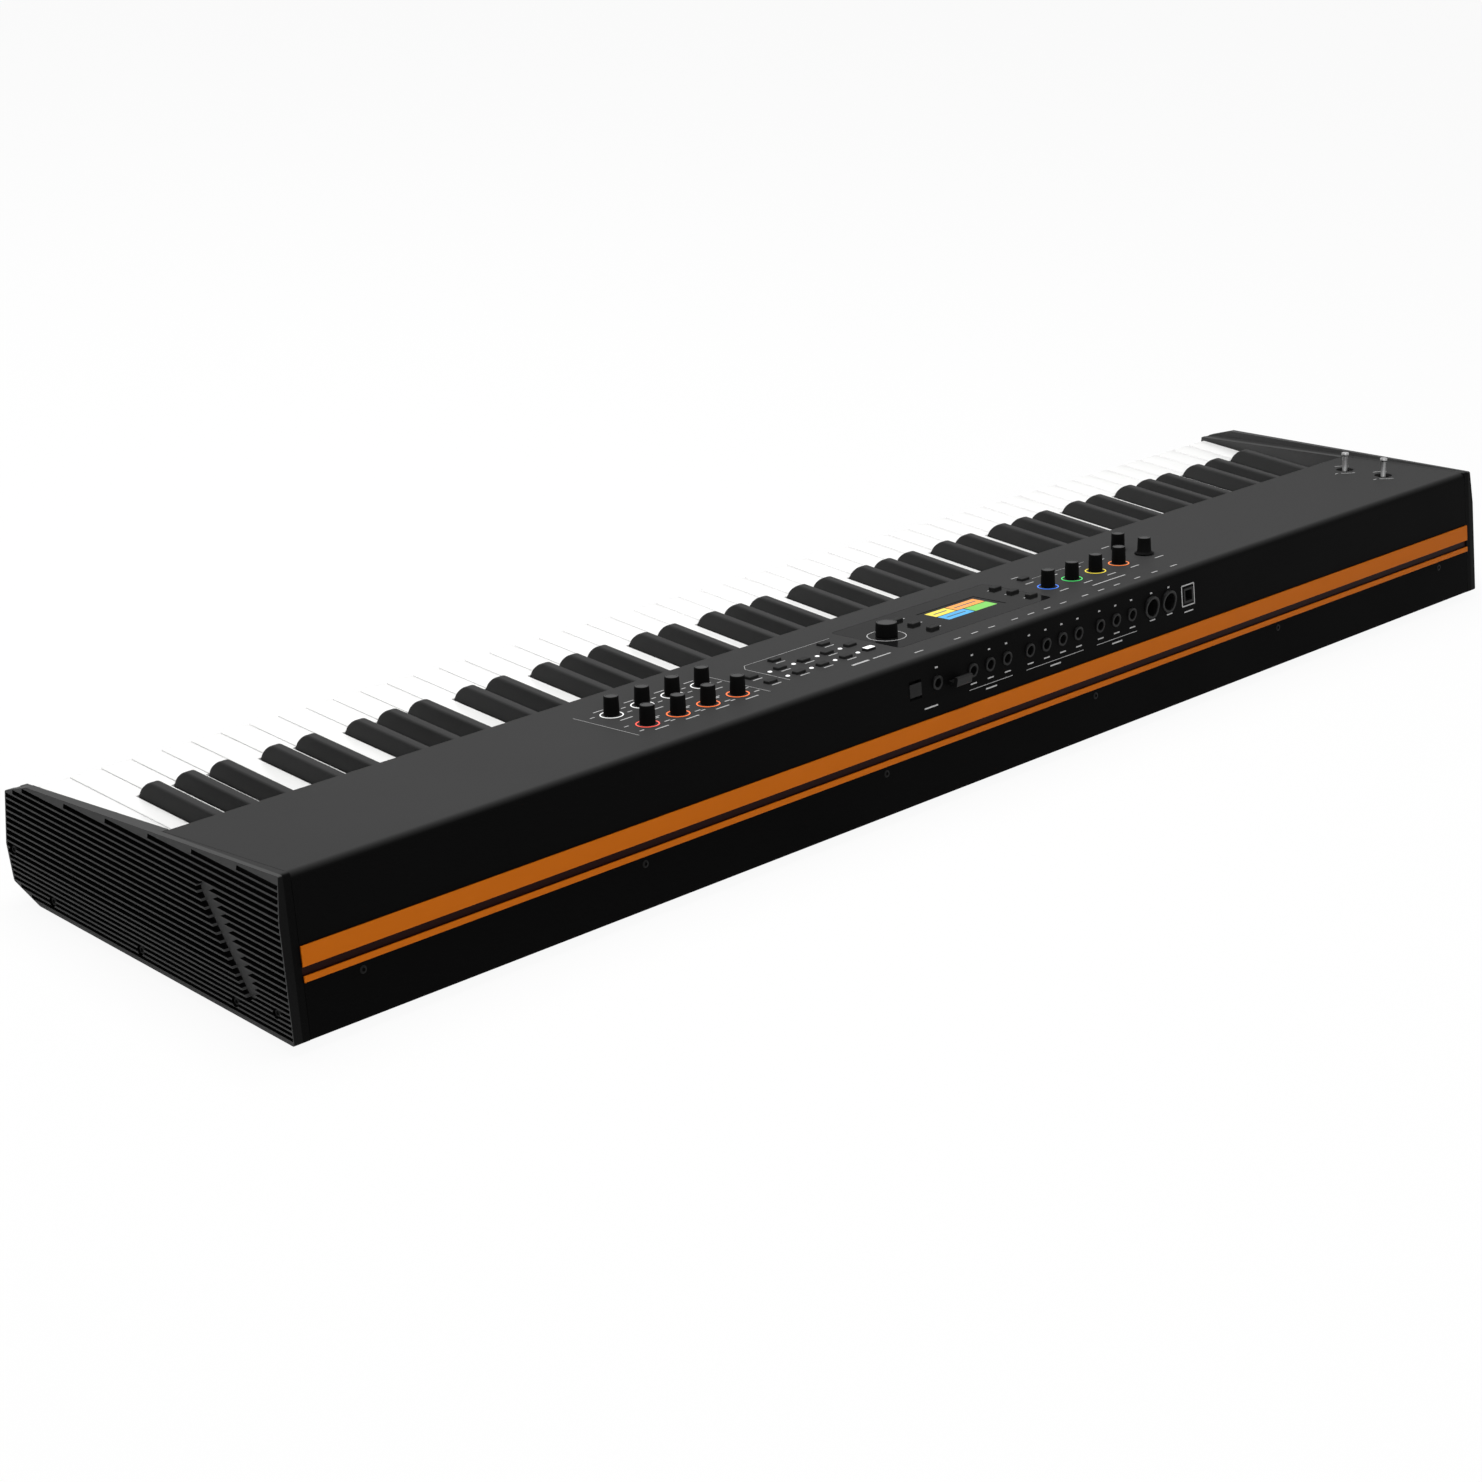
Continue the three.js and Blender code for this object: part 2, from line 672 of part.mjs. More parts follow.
const overlayPocket = block(
  [overlay.left - clearance, -overlay.front - clearance, -overlay.thickness - clearance],
  [overlay.right + clearance, -overlay.rear + clearance, overrun],
);
const coverSheet = prismX(coverProfile, -shellHalf, shellHalf);
addPiece(
  body,
  "top_cover",
  cut(join([coverSheet, hookBar, hookLip, ...posts, ...lugs]), [
    ...tongueRoom,
    ...wallHoles,
    ...lugBores,
    ...stickHoles,
    ...shaftHoles,
    ...[overlayPocket, screenWindow(sheet + overrun), ...buttonPlaces.map(buttonHole)].map(
      throughPanel,
    ),
  ]),
  panelPaint,
);

// Coloured trim between the cover and the tray: a broad band, a groove and a thin band
const trim = { proud: 1.2, groove: 1, band: 12, thin: 3.8 };
const bandFoot = trimTop - trim.band;
const thinTop = trimFoot + trim.thin;
const trimProfile = [
  [wallAt(trimTop) - skinIn(sheet), trimTop],
  [wallAt(trimTop) + trim.proud, trimTop],
  [wallAt(bandFoot) + trim.proud, bandFoot],
  [wallAt(bandFoot) - trim.groove, bandFoot - trim.groove],
  [wallAt(thinTop) - trim.groove, thinTop],
  [wallAt(thinTop) + trim.proud, thinTop],
  [wallAt(trimFoot) + trim.proud, trimFoot],
  [wallAt(trimFoot) - skinIn(sheet), trimFoot],
];
addPiece(body, "rear_stripe_trim", prismX(trimProfile, -shellHalf, shellHalf), trimPaint);

// Folded tray: lower rear wall, floor and chin
const trayTop = trimFoot - clearance;
const chinSlope = chinHeight / (chinDepth - chinInset);
const chinLift = sheet * Math.hypot(1, chinSlope);
const chinInsideAt = (z) => chinFootY - (z - chinLift) / chinSlope;
const trayProfile = [
  [wallAt(trayTop), trayTop],
  [rearY, 0],
  [chinFootY, 0],
  [frontY + chinInset, chinHeight],
  [chinInsideAt(chinHeight), chinHeight],
  [chinInsideAt(sheet), sheet],
  [wallAt(sheet) - skinIn(sheet), sheet],
  [wallAt(trayTop) - skinIn(sheet), trayTop],
];
const traySheet = prismX(trayProfile, -shellHalf, shellHalf);
addPiece(body, "bottom_tray", cut(traySheet, tongueRoom), bodyPaint);

// Front rail in front of the keys, standing on the tray's chin
const railDrop = 20;
const rail = { thickness: 4, top: keyTop - railDrop };
const innerHalf = cheekFace - clearance;
const railProfile = [
  [frontY + chinInset, chinHeight + clearance],
  [frontY, frontStraight],
  [frontY, rail.top],
  [frontY + rail.thickness, rail.top],
  [frontY + rail.thickness, frontStraight],
  [frontY + chinInset + rail.thickness, chinHeight + clearance],
];
addPiece(body, "front_rail", prismX(railProfile, -innerHalf, innerHalf), bodyPaint);

// Keys turn on a round ridge of the keybed frame
const ridgeRadius = 3;
const ridgeRoom = ridgeRadius + 2 * clearance;
const stopTop = (y) => keyFoot - (keyDip * (pivotY - y)) / (pivotY - keyFront) - clearance;
const guideThickness = 4;
const guideSetback = 1.5;
const middleGuideInset = 32.5;
const web = 2.4;
const bedInset = 7;
const bedPlate = 4;
const bedFront = chinFootY + clearance;
const bedRear = rearTopY - bedInset;
const bedFoot = sheet + clearance;
const bedTop = bedFoot + bedPlate;
const ridgeSteps = 10;
const webAngle = Math.asin(web / 2 / ridgeRadius);
const ridge = Array.from({ length: ridgeSteps + 1 }, (_, step) => {
  const angle = -Math.PI / 2 - webAngle - ((2 * Math.PI - 2 * webAngle) * step) / ridgeSteps;
  return [pivotY + ridgeRadius * Math.cos(angle), keyFoot + ridgeRadius * Math.sin(angle)];
});
const rib = (front) => [
  [front, bedTop],
  [front, stopTop(front)],
  [front + guideThickness, stopTop(front)],
  [front + guideThickness, bedTop],
];
const bedProfile = [
  [bedFront, bedFoot],
  [bedFront, bedTop],
  ...rib(chinFootY + guideSetback),
  ...rib(lipY - middleGuideInset),
  [pivotY - web / 2, bedTop],
  ...ridge,
  [pivotY + web / 2, bedTop],
  [bedRear, bedTop],
  [bedRear, bedFoot],
];
addPiece(body, "keybed_frame", prismX(bedProfile, -innerHalf, innerHalf), frameSteel);

// Plan of the keyboard
const keyboardLeft = -keyboardWidth / 2;
const naturalGap = 1;
const sharp = { base: 10.6, top: 8.8, height: 11.7, slope: 7, sideGap: 0.9, frontGap: 1.2, body: 9.6 };
const sharpCentreShares = [0.1286, 0.3, null, 0.551, 0.7143, 0.8776, null];
const lipDrop = 7;
const lipThickness = 4;
const letters = ["C", "D", "E", "F", "G", "A", "B"];
const firstLetter = letters.indexOf("A");
const naturals = Array.from({ length: naturalCount }, (_, n) => {
  const step = n + firstLetter;
  return {
    left: keyboardLeft + n * naturalPitch,
    letter: step % letters.length,
    octave: Math.floor(step / letters.length),
  };
});
const sharps = naturals.flatMap(({ left, letter, octave }, n) => {
  const share = sharpCentreShares[letter];
  if (share === null || n === naturalCount - 1) return [];
  const centre = left - letter * naturalPitch + share * octavePitch;
  return [{ centre, letter, octave, after: n }];
});
const sharpAfter = (n) => sharps.find(({ after }) => after === n);

const notchSteps = 4;
const ridgeNotch = Array.from({ length: notchSteps + 1 }, (_, step) => {
  const angle = Math.PI - (Math.PI * step) / notchSteps;
  return [pivotY + ridgeRoom * Math.cos(angle), keyFoot + ridgeRoom * Math.sin(angle)];
});
const naturalSide = [
  [keyFront, keyFoot - lipDrop],
  [keyFront + lipThickness, keyFoot - lipDrop],
  [keyFront + lipThickness, keyFoot],
  ...ridgeNotch,
  [keyRear, keyFoot],
  [keyRear, keyTop],
  [keyFront, keyTop],
];
function naturalKey({ left }, n) {
  const headLeft = left + naturalGap / 2;
  const headRight = left + naturalPitch - naturalGap / 2;
  const sharpRoom = sharp.base / 2 + sharp.sideGap;
  const leftSharp = sharpAfter(n - 1);
  const rightSharp = sharpAfter(n);
  const tailLeft = leftSharp ? Math.max(headLeft, leftSharp.centre + sharpRoom) : headLeft;
  const tailRight = rightSharp ? Math.min(headRight, rightSharp.centre - sharpRoom) : headRight;
  const headRear = sharpTip - sharp.frontGap;
  const side = prismX(naturalSide, headLeft, headRight);
  const plan = [];
  if (tailLeft > headLeft) plan.push([headLeft, tailLeft]);
  if (tailRight < headRight) plan.push([tailRight, headRight]);
  return cut(
    side,
    plan.map(([from, to]) =>
      block(
        [from === headLeft ? from - overrun : from, headRear, keyFoot - lipDrop - overrun],
        [to === headRight ? to + overrun : to, keyRear + overrun, keyTop + overrun],
      ),
    ),
  );
}

const sharpInset = 3;
const sharpRear = keyRear - sharpInset;
const sharpSide = [
  [sharpTip + overrun, keyFoot],
  ...ridgeNotch,
  [sharpRear, keyFoot],
  [sharpRear, keyTop],
  [sharpTip + overrun, keyTop],
];
function sharpKey({ centre }) {
  const lever = prismX(sharpSide, centre - sharp.body / 2, centre + sharp.body / 2);
  const rear = lipY + sheet + 2 * overrun;
  const low = keyTop - overrun;
  const cap = new THREE.BoxGeometry(sharp.base, rear - sharpTip, sharp.height + overrun);
  cap.translate(centre, (rear + sharpTip) / 2, low + (sharp.height + overrun) / 2);
  const places = cap.attributes.position;
  for (let i = 0; i < places.count; i++) {
    if (places.getZ(i) < keyTop) continue;
    const side = Math.sign(places.getX(i) - centre);
    places.setX(i, centre + (side * sharp.top) / 2);
    if (places.getY(i) < 0) places.setY(i, sharpTip + sharp.slope);
  }
  return lever.add(solidOf(cap));
}

// Keys outside the middle octave are moulded as combs joined by a bar behind the pivot
const sharpBar = { depth: 6, lift: 1.5, height: 5 };
function naturalComb(keys) {
  const lefts = keys.map(([key]) => key.left);
  const naturalsBar = block(
    [Math.min(...lefts) + naturalGap / 2, keyRear - overrun, keyTop - combBar.drop],
    [
      Math.max(...lefts) + naturalPitch - naturalGap / 2,
      combRear,
      keyTop,
    ],
  );
  return join([naturalsBar, ...keys.map(([key, n]) => naturalKey(key, n))]);
}
function sharpComb(keys) {
  const centres = keys.map(({ centre }) => centre);
  const low = keyTop + sharpBar.lift;
  const sharpsBar = block(
    [Math.min(...centres) - sharp.body / 2, sharpRear - sharpBar.depth, low],
    [Math.max(...centres) + sharp.body / 2, sharpRear, low + sharpBar.height],
  );
  const risers = centres.map((centre) =>
    block(
      [centre - sharp.body / 2, sharpRear - sharpBar.depth, keyTop - overrun],
      [centre + sharp.body / 2, sharpRear, low + overrun],
    ),
  );
  return join([sharpsBar, ...risers, ...keys.map(sharpKey)]);
}

const combs = [
  { name: "A0_B1", octaves: [0, 1] },
  { name: "C2_B3", octaves: [2, 3] },
  { name: "C5_B6", octaves: [5, 6] },
  { name: "C7_C8", octaves: [7, 8] },
];
const singleOctave = 4;
const numbered = naturals.map((key, n) => [key, n]);
for (const { name, octaves } of combs) {
  const inComb = ({ octave }) => octaves.includes(octave);
  const whites = numbered.filter(([key]) => inComb(key));
  addPiece(body, "naturals_" + name, naturalComb(whites), naturalPlastic);
  addPiece(body, "sharps_" + name, sharpComb(sharps.filter(inComb)), sharpPlastic);
}
for (const [key, n] of numbered.filter(([{ octave }]) => octave === singleOctave)) {
  const name = "key_" + letters[key.letter] + singleOctave;
  addPiece(body, name, naturalKey(key, n), naturalPlastic);
}
for (const key of sharps.filter(({ octave }) => octave === singleOctave)) {
  const name = "key_" + letters[key.letter] + "sharp" + singleOctave;
  addPiece(body, name, sharpKey(key), sharpPlastic);
}

// Rubber feet
const foot = { radius: 14, taper: 1.5, fromEnd: 61, fromFront: 53.5, fromRear: 30.5 };
const footProfile = [
  [0, -footHeight],
  [foot.radius - foot.taper, -footHeight],
  [foot.radius, -clearance],
  [0, -clearance],
];
const footX = halfWidth - foot.fromEnd;
for (const [side, x] of [["left", -footX], ["right", footX]]) {
  const frontPlace = [x, frontY + foot.fromFront, 0];
  const rearPlace = [x, rearY - foot.fromRear, 0];
  addPiece(body, "foot_front_" + side, turned(footProfile), footRubber, frontPlace);
  addPiece(body, "foot_rear_" + side, turned(footProfile), footRubber, rearPlace);
}

export default piano;
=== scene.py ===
# %% [markdown]
# A slim stage piano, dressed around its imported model. The model brings every piece at its real size, in
# metres: X runs from the bass end to the treble end, the player sits on the -Y side, and Z = 0 is under the
# feet. The first cells set up the camera, the light, the finishes and the ways of making forms. Each cell
# after them adds pieces, and says what they are on the real instrument.

# %% Load the model
import math

import bmesh
import bpy
from mathutils import Matrix, Vector


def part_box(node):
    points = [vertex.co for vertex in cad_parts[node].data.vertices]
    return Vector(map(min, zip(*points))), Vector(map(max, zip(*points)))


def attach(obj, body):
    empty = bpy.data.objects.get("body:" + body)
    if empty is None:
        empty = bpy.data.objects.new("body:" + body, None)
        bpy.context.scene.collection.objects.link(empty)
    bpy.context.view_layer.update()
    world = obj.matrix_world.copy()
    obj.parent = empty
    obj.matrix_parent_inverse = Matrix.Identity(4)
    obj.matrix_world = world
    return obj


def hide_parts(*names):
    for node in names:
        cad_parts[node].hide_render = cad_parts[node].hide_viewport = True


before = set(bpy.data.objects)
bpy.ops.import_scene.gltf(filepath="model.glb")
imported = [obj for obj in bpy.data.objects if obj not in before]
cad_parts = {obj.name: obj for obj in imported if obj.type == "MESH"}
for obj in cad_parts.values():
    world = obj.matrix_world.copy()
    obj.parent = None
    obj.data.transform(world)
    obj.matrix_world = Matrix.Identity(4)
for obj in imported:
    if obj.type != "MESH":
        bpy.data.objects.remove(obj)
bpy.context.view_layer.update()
mm = 0.001
scene = bpy.context.scene
scene.view_settings.view_transform = "Standard"

# %% [markdown]
# The driving sizes come from the end cheeks, which carry the whole outline of the case: a flat floor, a
# leaning rear wall and a panel that falls towards the player. The slanted panel gets a frame of its own, so
# that knobs, rings and printed marks are placed on it as on a drawing board: along the length, and in front
# of the rear edge.

# %% Case outline and the panel's frame
cheek_low, cheek_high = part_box("right_cheek")
half_width = cheek_high.x
front_y, rear_y = cheek_low.y, cheek_high.y
floor_z, top_z = cheek_low.z, cheek_high.z
front_height = 66 * mm
rear_lean = 19.5 * mm
rear_top_y = rear_y - rear_lean
panel_angle = math.atan2(top_z - floor_z - front_height, rear_top_y - front_y)
wall_angle = math.atan2(rear_lean, top_z - floor_z)
panel_frame = Matrix.Translation((0, rear_top_y, top_z)) @ Matrix.Rotation(panel_angle, 4, "X")
wall_normal = Vector((0, math.cos(wall_angle), math.sin(wall_angle)))
wall_distance = wall_normal.dot(Vector((0, rear_y, floor_z)))


def wall_y(z):
    """How far back the rear wall stands, at a height above the table."""
    return rear_y - (z - floor_z) * math.tan(wall_angle)


def panel_z(y):
    """How high the panel lies, at a place along the depth."""
    return top_z - (rear_top_y - y) * math.tan(panel_angle)


print("panel falls", round(math.degrees(panel_angle), 2), "degrees")
print("wall leans", round(math.degrees(wall_angle), 2), "degrees")

# %% [markdown]
# The camera stands behind the treble end, above the case, where the photograph was taken. Its place comes
# from fitting a pinhole camera to the key edges and the corners of the case, so it is written as plain
# numbers.

# %% Camera
image_width = 1482
focal_pixels = 3263
camera_place = Vector((1.6902, 1.4129, 0.8767))
azimuth, elevation, roll = (math.radians(angle) for angle in (131.91, 22.12, 3.63))
behind = Vector(
    (math.sin(azimuth) * math.cos(elevation), -math.cos(azimuth) * math.cos(elevation), math.sin(elevation))
)
level = (-behind).cross(Vector((0, 0, 1))).normalized()
upright = level.cross(-behind)
across = level * math.cos(roll) + upright * math.sin(roll)
camera_up = upright * math.cos(roll) - level * math.sin(roll)
camera_data = bpy.data.cameras.new("camera")
camera_data.lens = camera_data.sensor_width * focal_pixels / image_width
camera = bpy.data.objects.new("camera", camera_data)
scene.collection.objects.link(camera)
turn = Matrix((across, camera_up, behind)).transposed()
camera.matrix_world = Matrix.Translation(camera_place) @ turn.to_4x4()
scene.camera = camera
print("lens", round(camera_data.lens, 1), "mm")

# %% [markdown]
# The instrument was photographed on white, with soft light from above. One wide lamp over the case and a
# weaker one behind it give the panel its even grey; the rear wall is dark from them and from shade painted
# into its colours. The world is white for the camera and for reflections, and a quiet grey for the light
# that falls on the case, so the page doesn't flood the black plastic.

# %% Light and floor
white = (1, 1, 1, 1)
page_white = 1.0
room_light = 0.3


def area_lamp(name, place, target, size, watts):
    data = bpy.data.lights.new(name, "AREA")
    data.shape = "DISK"
    data.size = size
    data.energy = watts
    lamp = bpy.data.objects.new(name, data)
    lamp.location = place
    lamp.rotation_euler = (Vector(target) - Vector(place)).to_track_quat("-Z", "Y").to_euler()
    scene.collection.objects.link(lamp)


case_middle = (0, 0, 0.1)
area_lamp("top_softbox", (0.1, -0.5, 2.2), case_middle, 1.6, 46)
area_lamp("rear_softbox", (1.4, 1.9, 1.3), case_middle, 1.2, 14)


def node_with(tree, kind, **values):
    """A new node with these values on its named inputs."""
    node = tree.nodes.new(kind)
    for socket, value in values.items():
        node.inputs[socket].default_value = value
    return node


def math_node(tree, operation, *values):
    """A new math node on numbers or on other nodes' outputs."""
    node = tree.nodes.new("ShaderNodeMath")
    node.operation = operation
    for socket, value in zip(node.inputs, values):
        if isinstance(value, (int, float)):
            socket.default_value = value
        else:
            tree.links.new(value, socket)
    return node


def seen_directly(tree):
    """1 where the camera, a reflection or clear glass looks, and 0 for light that falls on the object."""
    rays = tree.nodes.new("ShaderNodeLightPath").outputs
    seen = math_node(tree, "MAXIMUM", rays["Is Camera Ray"], rays["Is Glossy Ray"])
    return math_node(tree, "MAXIMUM", seen.outputs[0], rays["Is Transmission Ray"]).outputs[0]


def mixed_by_ray(tree, share, for_light, seen, output_kind):
    """Puts out one shader for the light that falls on things, and another where they are seen."""
    mix = tree.nodes.new("ShaderNodeMixShader")
    output = tree.nodes.new(output_kind)
    for socket, source in zip(mix.inputs, (share, for_light.outputs[0], seen.outputs[0])):
        tree.links.new(source, socket)
    tree.links.new(mix.outputs[0], output.inputs[0])


world = bpy.data.worlds.new("studio")
scene.world = world
world.use_nodes = True
studio = world.node_tree
studio.nodes.clear()
page = node_with(studio, "ShaderNodeBackground", Color=white, Strength=page_white)
room = node_with(studio, "ShaderNodeBackground", Color=white, Strength=room_light)
mixed_by_ray(studio, seen_directly(studio), room, page, "ShaderNodeOutputWorld")

paper_material = bpy.data.materials.new("paper_floor")
paper_material.use_nodes = True
paper_tree = paper_material.node_tree
paper_tree.nodes.clear()
paper = node_with(paper_tree, "ShaderNodeBsdfDiffuse", Color=(0.9, 0.9, 0.9, 1))
glow = node_with(paper_tree, "ShaderNodeEmission", Strength=page_white)
glow_share = 0.93
glow_part = math_node(paper_tree, "MULTIPLY", seen_directly(paper_tree), glow_share)
mixed_by_ray(paper_tree, glow_part.outputs[0], paper, glow, "ShaderNodeOutputMaterial")
floor_half, paper_z = 6.0, -0.1 * mm
corner_signs = [(-1, -1), (1, -1), (1, 1), (-1, 1)]
floor_corners = [(x * floor_half, y * floor_half, paper_z) for x, y in corner_signs]
floor_mesh = bpy.data.meshes.new("floor")
floor_mesh.from_pydata(floor_corners, [], [(0, 1, 2, 3)])
floor_mesh.materials.append(paper_material)
studio_floor = bpy.data.objects.new("floor", floor_mesh)
scene.collection.objects.link(studio_floor)

# %% [markdown]
# Paint, moulded plastic and rubber differ in colour, but share their effects: a fine grain that breaks up
# the light, soft uneven patches left by moulding and dust, and a second tone beyond a plane along the rear
# wall. On the cover and the cheeks that second tone is painted shade on the rear wall; on the orange strip
# it is the orange, and the groove behind it keeps a painted shade. All are built once as a node group, and
# each material gives it its own values.

# %% Shared surface group
surface_inputs = (
    ("Vector", "NodeSocketVector", None),
    ("Colour", "NodeSocketColor", (0.5, 0.5, 0.5, 1)),
    ("Patch Colour", "NodeSocketColor", (0.6, 0.6, 0.6, 1)),
    ("Second Colour", "NodeSocketColor", (0.5, 0.5, 0.5, 1)),
    ("Split Direction", "NodeSocketVector", (0, 0, 0)),
    ("Split Place", "NodeSocketFloat", 1.0),
    ("Split Width", "NodeSocketFloat", 1.0),
    ("Roughness", "NodeSocketFloat", 0.5),
    ("Roughness Spread", "NodeSocketFloat", 0.1),
    ("Grain Scale", "NodeSocketFloat", 1500.0),
    ("Patch Scale", "NodeSocketFloat", 12.0),
)
surface_outputs = (
    ("Colour", "NodeSocketColor"),
    ("Roughness", "NodeSocketFloat"),
    ("Height", "NodeSocketFloat"),
)
patch_share, grain_share = 0.65, 0.35
patches_from, patches_to = 0.35, 0.7


def surface_group():
    tree = bpy.data.node_groups.new("grain_and_patches", "ShaderNodeTree")
    for name, kind, value in surface_inputs:
        socket = tree.interface.new_socket(name, in_out="INPUT", socket_type=kind)
        if value is not None:
            socket.default_value = value
    for name, kind in surface_outputs:
        tree.interface.new_socket(name, in_out="OUTPUT", socket_type=kind)
    link = tree.links.new
    start = tree.nodes.new("NodeGroupInput")
    end = tree.nodes.new("NodeGroupOutput")

    def mixed_tones(factor, first, second):
        mix = tree.nodes.new("ShaderNodeMix")
        mix.data_type = "RGBA"
        for source, socket in zip((factor, first, second), ("Factor", 6, 7)):
            link(source, mix.inputs[socket])
        return mix.outputs[2]

    grain = tree.nodes.new("ShaderNodeTexNoise")
    patches = tree.nodes.new("ShaderNodeTexNoise")
    for texture, scale, detail in ((grain, "Grain Scale", 3), (patches, "Patch Scale", 4)):
        texture.inputs["Detail"].default_value = detail
        link(start.outputs["Vector"], texture.inputs["Vector"])
        link(start.outputs[scale], texture.inputs["Scale"])
    contrast = tree.nodes.new("ShaderNodeMapRange")
    contrast.inputs["From Min"].default_value = patches_from
    contrast.inputs["From Max"].default_value = patches_to
    link(patches.outputs["Fac"], contrast.inputs["Value"])
    patch_part = math_node(tree, "MULTIPLY", contrast.outputs["Result"], patch_share)
    blend = math_node(tree, "MULTIPLY_ADD", grain.outputs["Fac"], grain_share, patch_part.outputs[0])
    first_tone = mixed_tones(blend.outputs[0], start.outputs["Colour"], start.outputs["Patch Colour"])
    along = tree.nodes.new("ShaderNodeVectorMath")
    along.operation = "DOT_PRODUCT"
    link(start.outputs["Vector"], along.inputs[0])
    link(start.outputs["Split Direction"], along.inputs[1])
    past = math_node(tree, "SUBTRACT", along.outputs["Value"], start.outputs["Split Place"])
    split = math_node(tree, "DIVIDE", past.outputs[0], start.outputs["Split Width"])
    split.use_clamp = True
    both_tones = mixed_tones(split.outputs[0], first_tone, start.outputs["Second Colour"])
    least, spread = start.outputs["Roughness"], start.outputs["Roughness Spread"]
    roughness = math_node(tree, "MULTIPLY_ADD", blend.outputs[0], spread, least)
    link(both_tones, end.inputs["Colour"])
    link(roughness.outputs[0], end.inputs["Roughness"])
    link(grain.outputs["Fac"], end.inputs["Height"])
    return tree


surface = surface_group()
print("surface group nodes", len(surface.nodes))

# %% [markdown]
# One function places that group in a material of its own. What is the same all over, such as a metal's
# metalness or a lamp's glow, is set on the shader itself. The grain's height goes through a bump node:
# orange peel on paint is a few hundredths of a millimetre deep, moulded plastic a little more. The numbers
# of each material are its roughness and the spread of it, its grain and its patches per metre, and the
# strength of the bump.

# %% Material maker
grain_depth = 0.2 * mm


def material(name, colour, patch=None, roughness=0.5, spread=0.1, grain=1500, patches=12, bump=0.1, **more):
    made = bpy.data.materials.new(name)
    made.use_nodes = True
    nodes, link = made.node_tree.nodes, made.node_tree.links.new
    shader = nodes["Principled BSDF"]
    places = nodes.new("ShaderNodeTexCoord")
    finish = nodes.new("ShaderNodeGroup")
    finish.node_tree = surface
    relief = nodes.new("ShaderNodeBump")
    values = {
        "Colour": (*colour, 1),
        "Patch Colour": (*(patch or [channel * 1.25 for channel in colour]), 1),
        "Roughness": roughness,
        "Roughness Spread": spread,
        "Grain Scale": grain,
        "Patch Scale": patches,
    }
    values.update(more.get("split", {}))
    for socket, value in values.items():
        finish.inputs[socket].default_value = value
    relief.inputs["Strength"].default_value = bump
    relief.inputs["Distance"].default_value = grain_depth
    link(places.outputs["Object"], finish.inputs["Vector"])
    link(finish.outputs["Colour"], shader.inputs["Base Color"])
    link(finish.outputs["Roughness"], shader.inputs["Roughness"])
    link(finish.outputs["Height"], relief.inputs["Height"])
    link(relief.outputs["Normal"], shader.inputs["Normal"])
    shader.inputs["Metallic"].default_value = more.get("metallic", 0)
    shader.inputs["Specular IOR Level"].default_value = more.get("specular", 0.4)
    if "glow" in more:
        shader.inputs["Emission Color"].default_value = (*more["glow"], 1)
        shader.inputs["Emission Strength"].default_value = more.get("strength", 1)
    return made


def grey(value):
    return (value, value, value)


def beyond_wall(colour, offset, width):
    """Second tone beyond a rear-wall plane, its start and softness: painted shade on cover and cheeks, orange
    on the strip.
    """
    return {
        "Second Colour": (*colour, 1),
        "Split Direction": wall_normal,
        "Split Place": wall_distance + offset,
        "Split Width": width,
    }


# The near black below is painted shade: the rear wall, the tray and the cheeks' rear faces take it, far
# darker than the cover's paint.
painted_wall_shade = grey(0.0015)
cover_rear_painted_shade = beyond_wall(painted_wall_shade, -4.5 * mm, 4 * mm)
orange = (0.52, 0.125, 0.003)
orange_bands = beyond_wall(orange, 0.2 * mm, 0.5 * mm)
# The cover's paint turns near black past the round rear edge: painted shade on the rear wall of the same
# sheet.
cover_paint = material(
    "panel_paint", grey(0.035), grey(0.044), 0.6, 0.1, 2600, 7, 0.12, specular=0.03, split=cover_rear_painted_shade
)
# The tray, the rail and the bores in the wall take the near-black painted shade of the rear wall.
body_paint = material("body_paint", painted_wall_shade, grey(0.0025), 0.6, 0.15, 2600, 9, 0.1, specular=0.02)
# The strip is dark brown where it lies back and orange only where it stands proud: painted shade in the
# groove.
trim_paint = material(
    "trim_paint", (0.012, 0.002, 0.001), None, 0.4, 0.1, 3000, 8, 0.05, specular=0.06, split=orange_bands
)
# The cheeks' rear faces turn near black beyond this plane: painted shade.
cheek_rear_painted_shade = beyond_wall(painted_wall_shade, -0.6 * mm, 0.5 * mm)
rib_plastic = material(
    "cheek_plastic", grey(0.058), grey(0.07), 0.6, 0.15, 1800, 14, 0.2, specular=0.08, split=cheek_rear_painted_shade
)
# Groove floors and screw pockets are near black, far darker than the ribs: painted shade in the recesses.
groove_painted_shade = material("cheek_groove", grey(0.0015), grey(0.0025), 0.7, 0.15, 1800, 14, 0.2, specular=0.03)
white_plastic = material("white_key", (0.86, 0.86, 0.85), (0.89, 0.89, 0.885), 0.28, 0.08, 2200, 16, 0.03)
black_plastic = material("black_key", grey(0.028), grey(0.036), 0.5, 0.14, 2400, 18, 0.16, specular=0.07)
knob_rubber = material("knob_rubber", grey(0.0015), grey(0.003), 0.65, 0.15, 2500, 40, 0.2, specular=0.05)
knob_face = material("knob_face", grey(0.05), grey(0.07), 0.55, 0.15, 3000, 60, 0.12, specular=0.1)
button_rubber = material("button_rubber", grey(0.012), grey(0.018), 0.6, 0.12, 2500, 50, 0.15, specular=0.1)
stick_metal = material("stick_metal", grey(0.3), grey(0.4), 0.25, 0.12, 3500, 90, 0.05, metallic=1)
gloss_black = material("gloss_overlay", grey(0.006), grey(0.009), 0.1, 0.05, 800, 15, 0.01, specular=0.01)
board_green = material("circuit_board", (0.01, 0.06, 0.03), (0.012, 0.09, 0.045), 0.4, 0.15, 900, 60, 0.1)
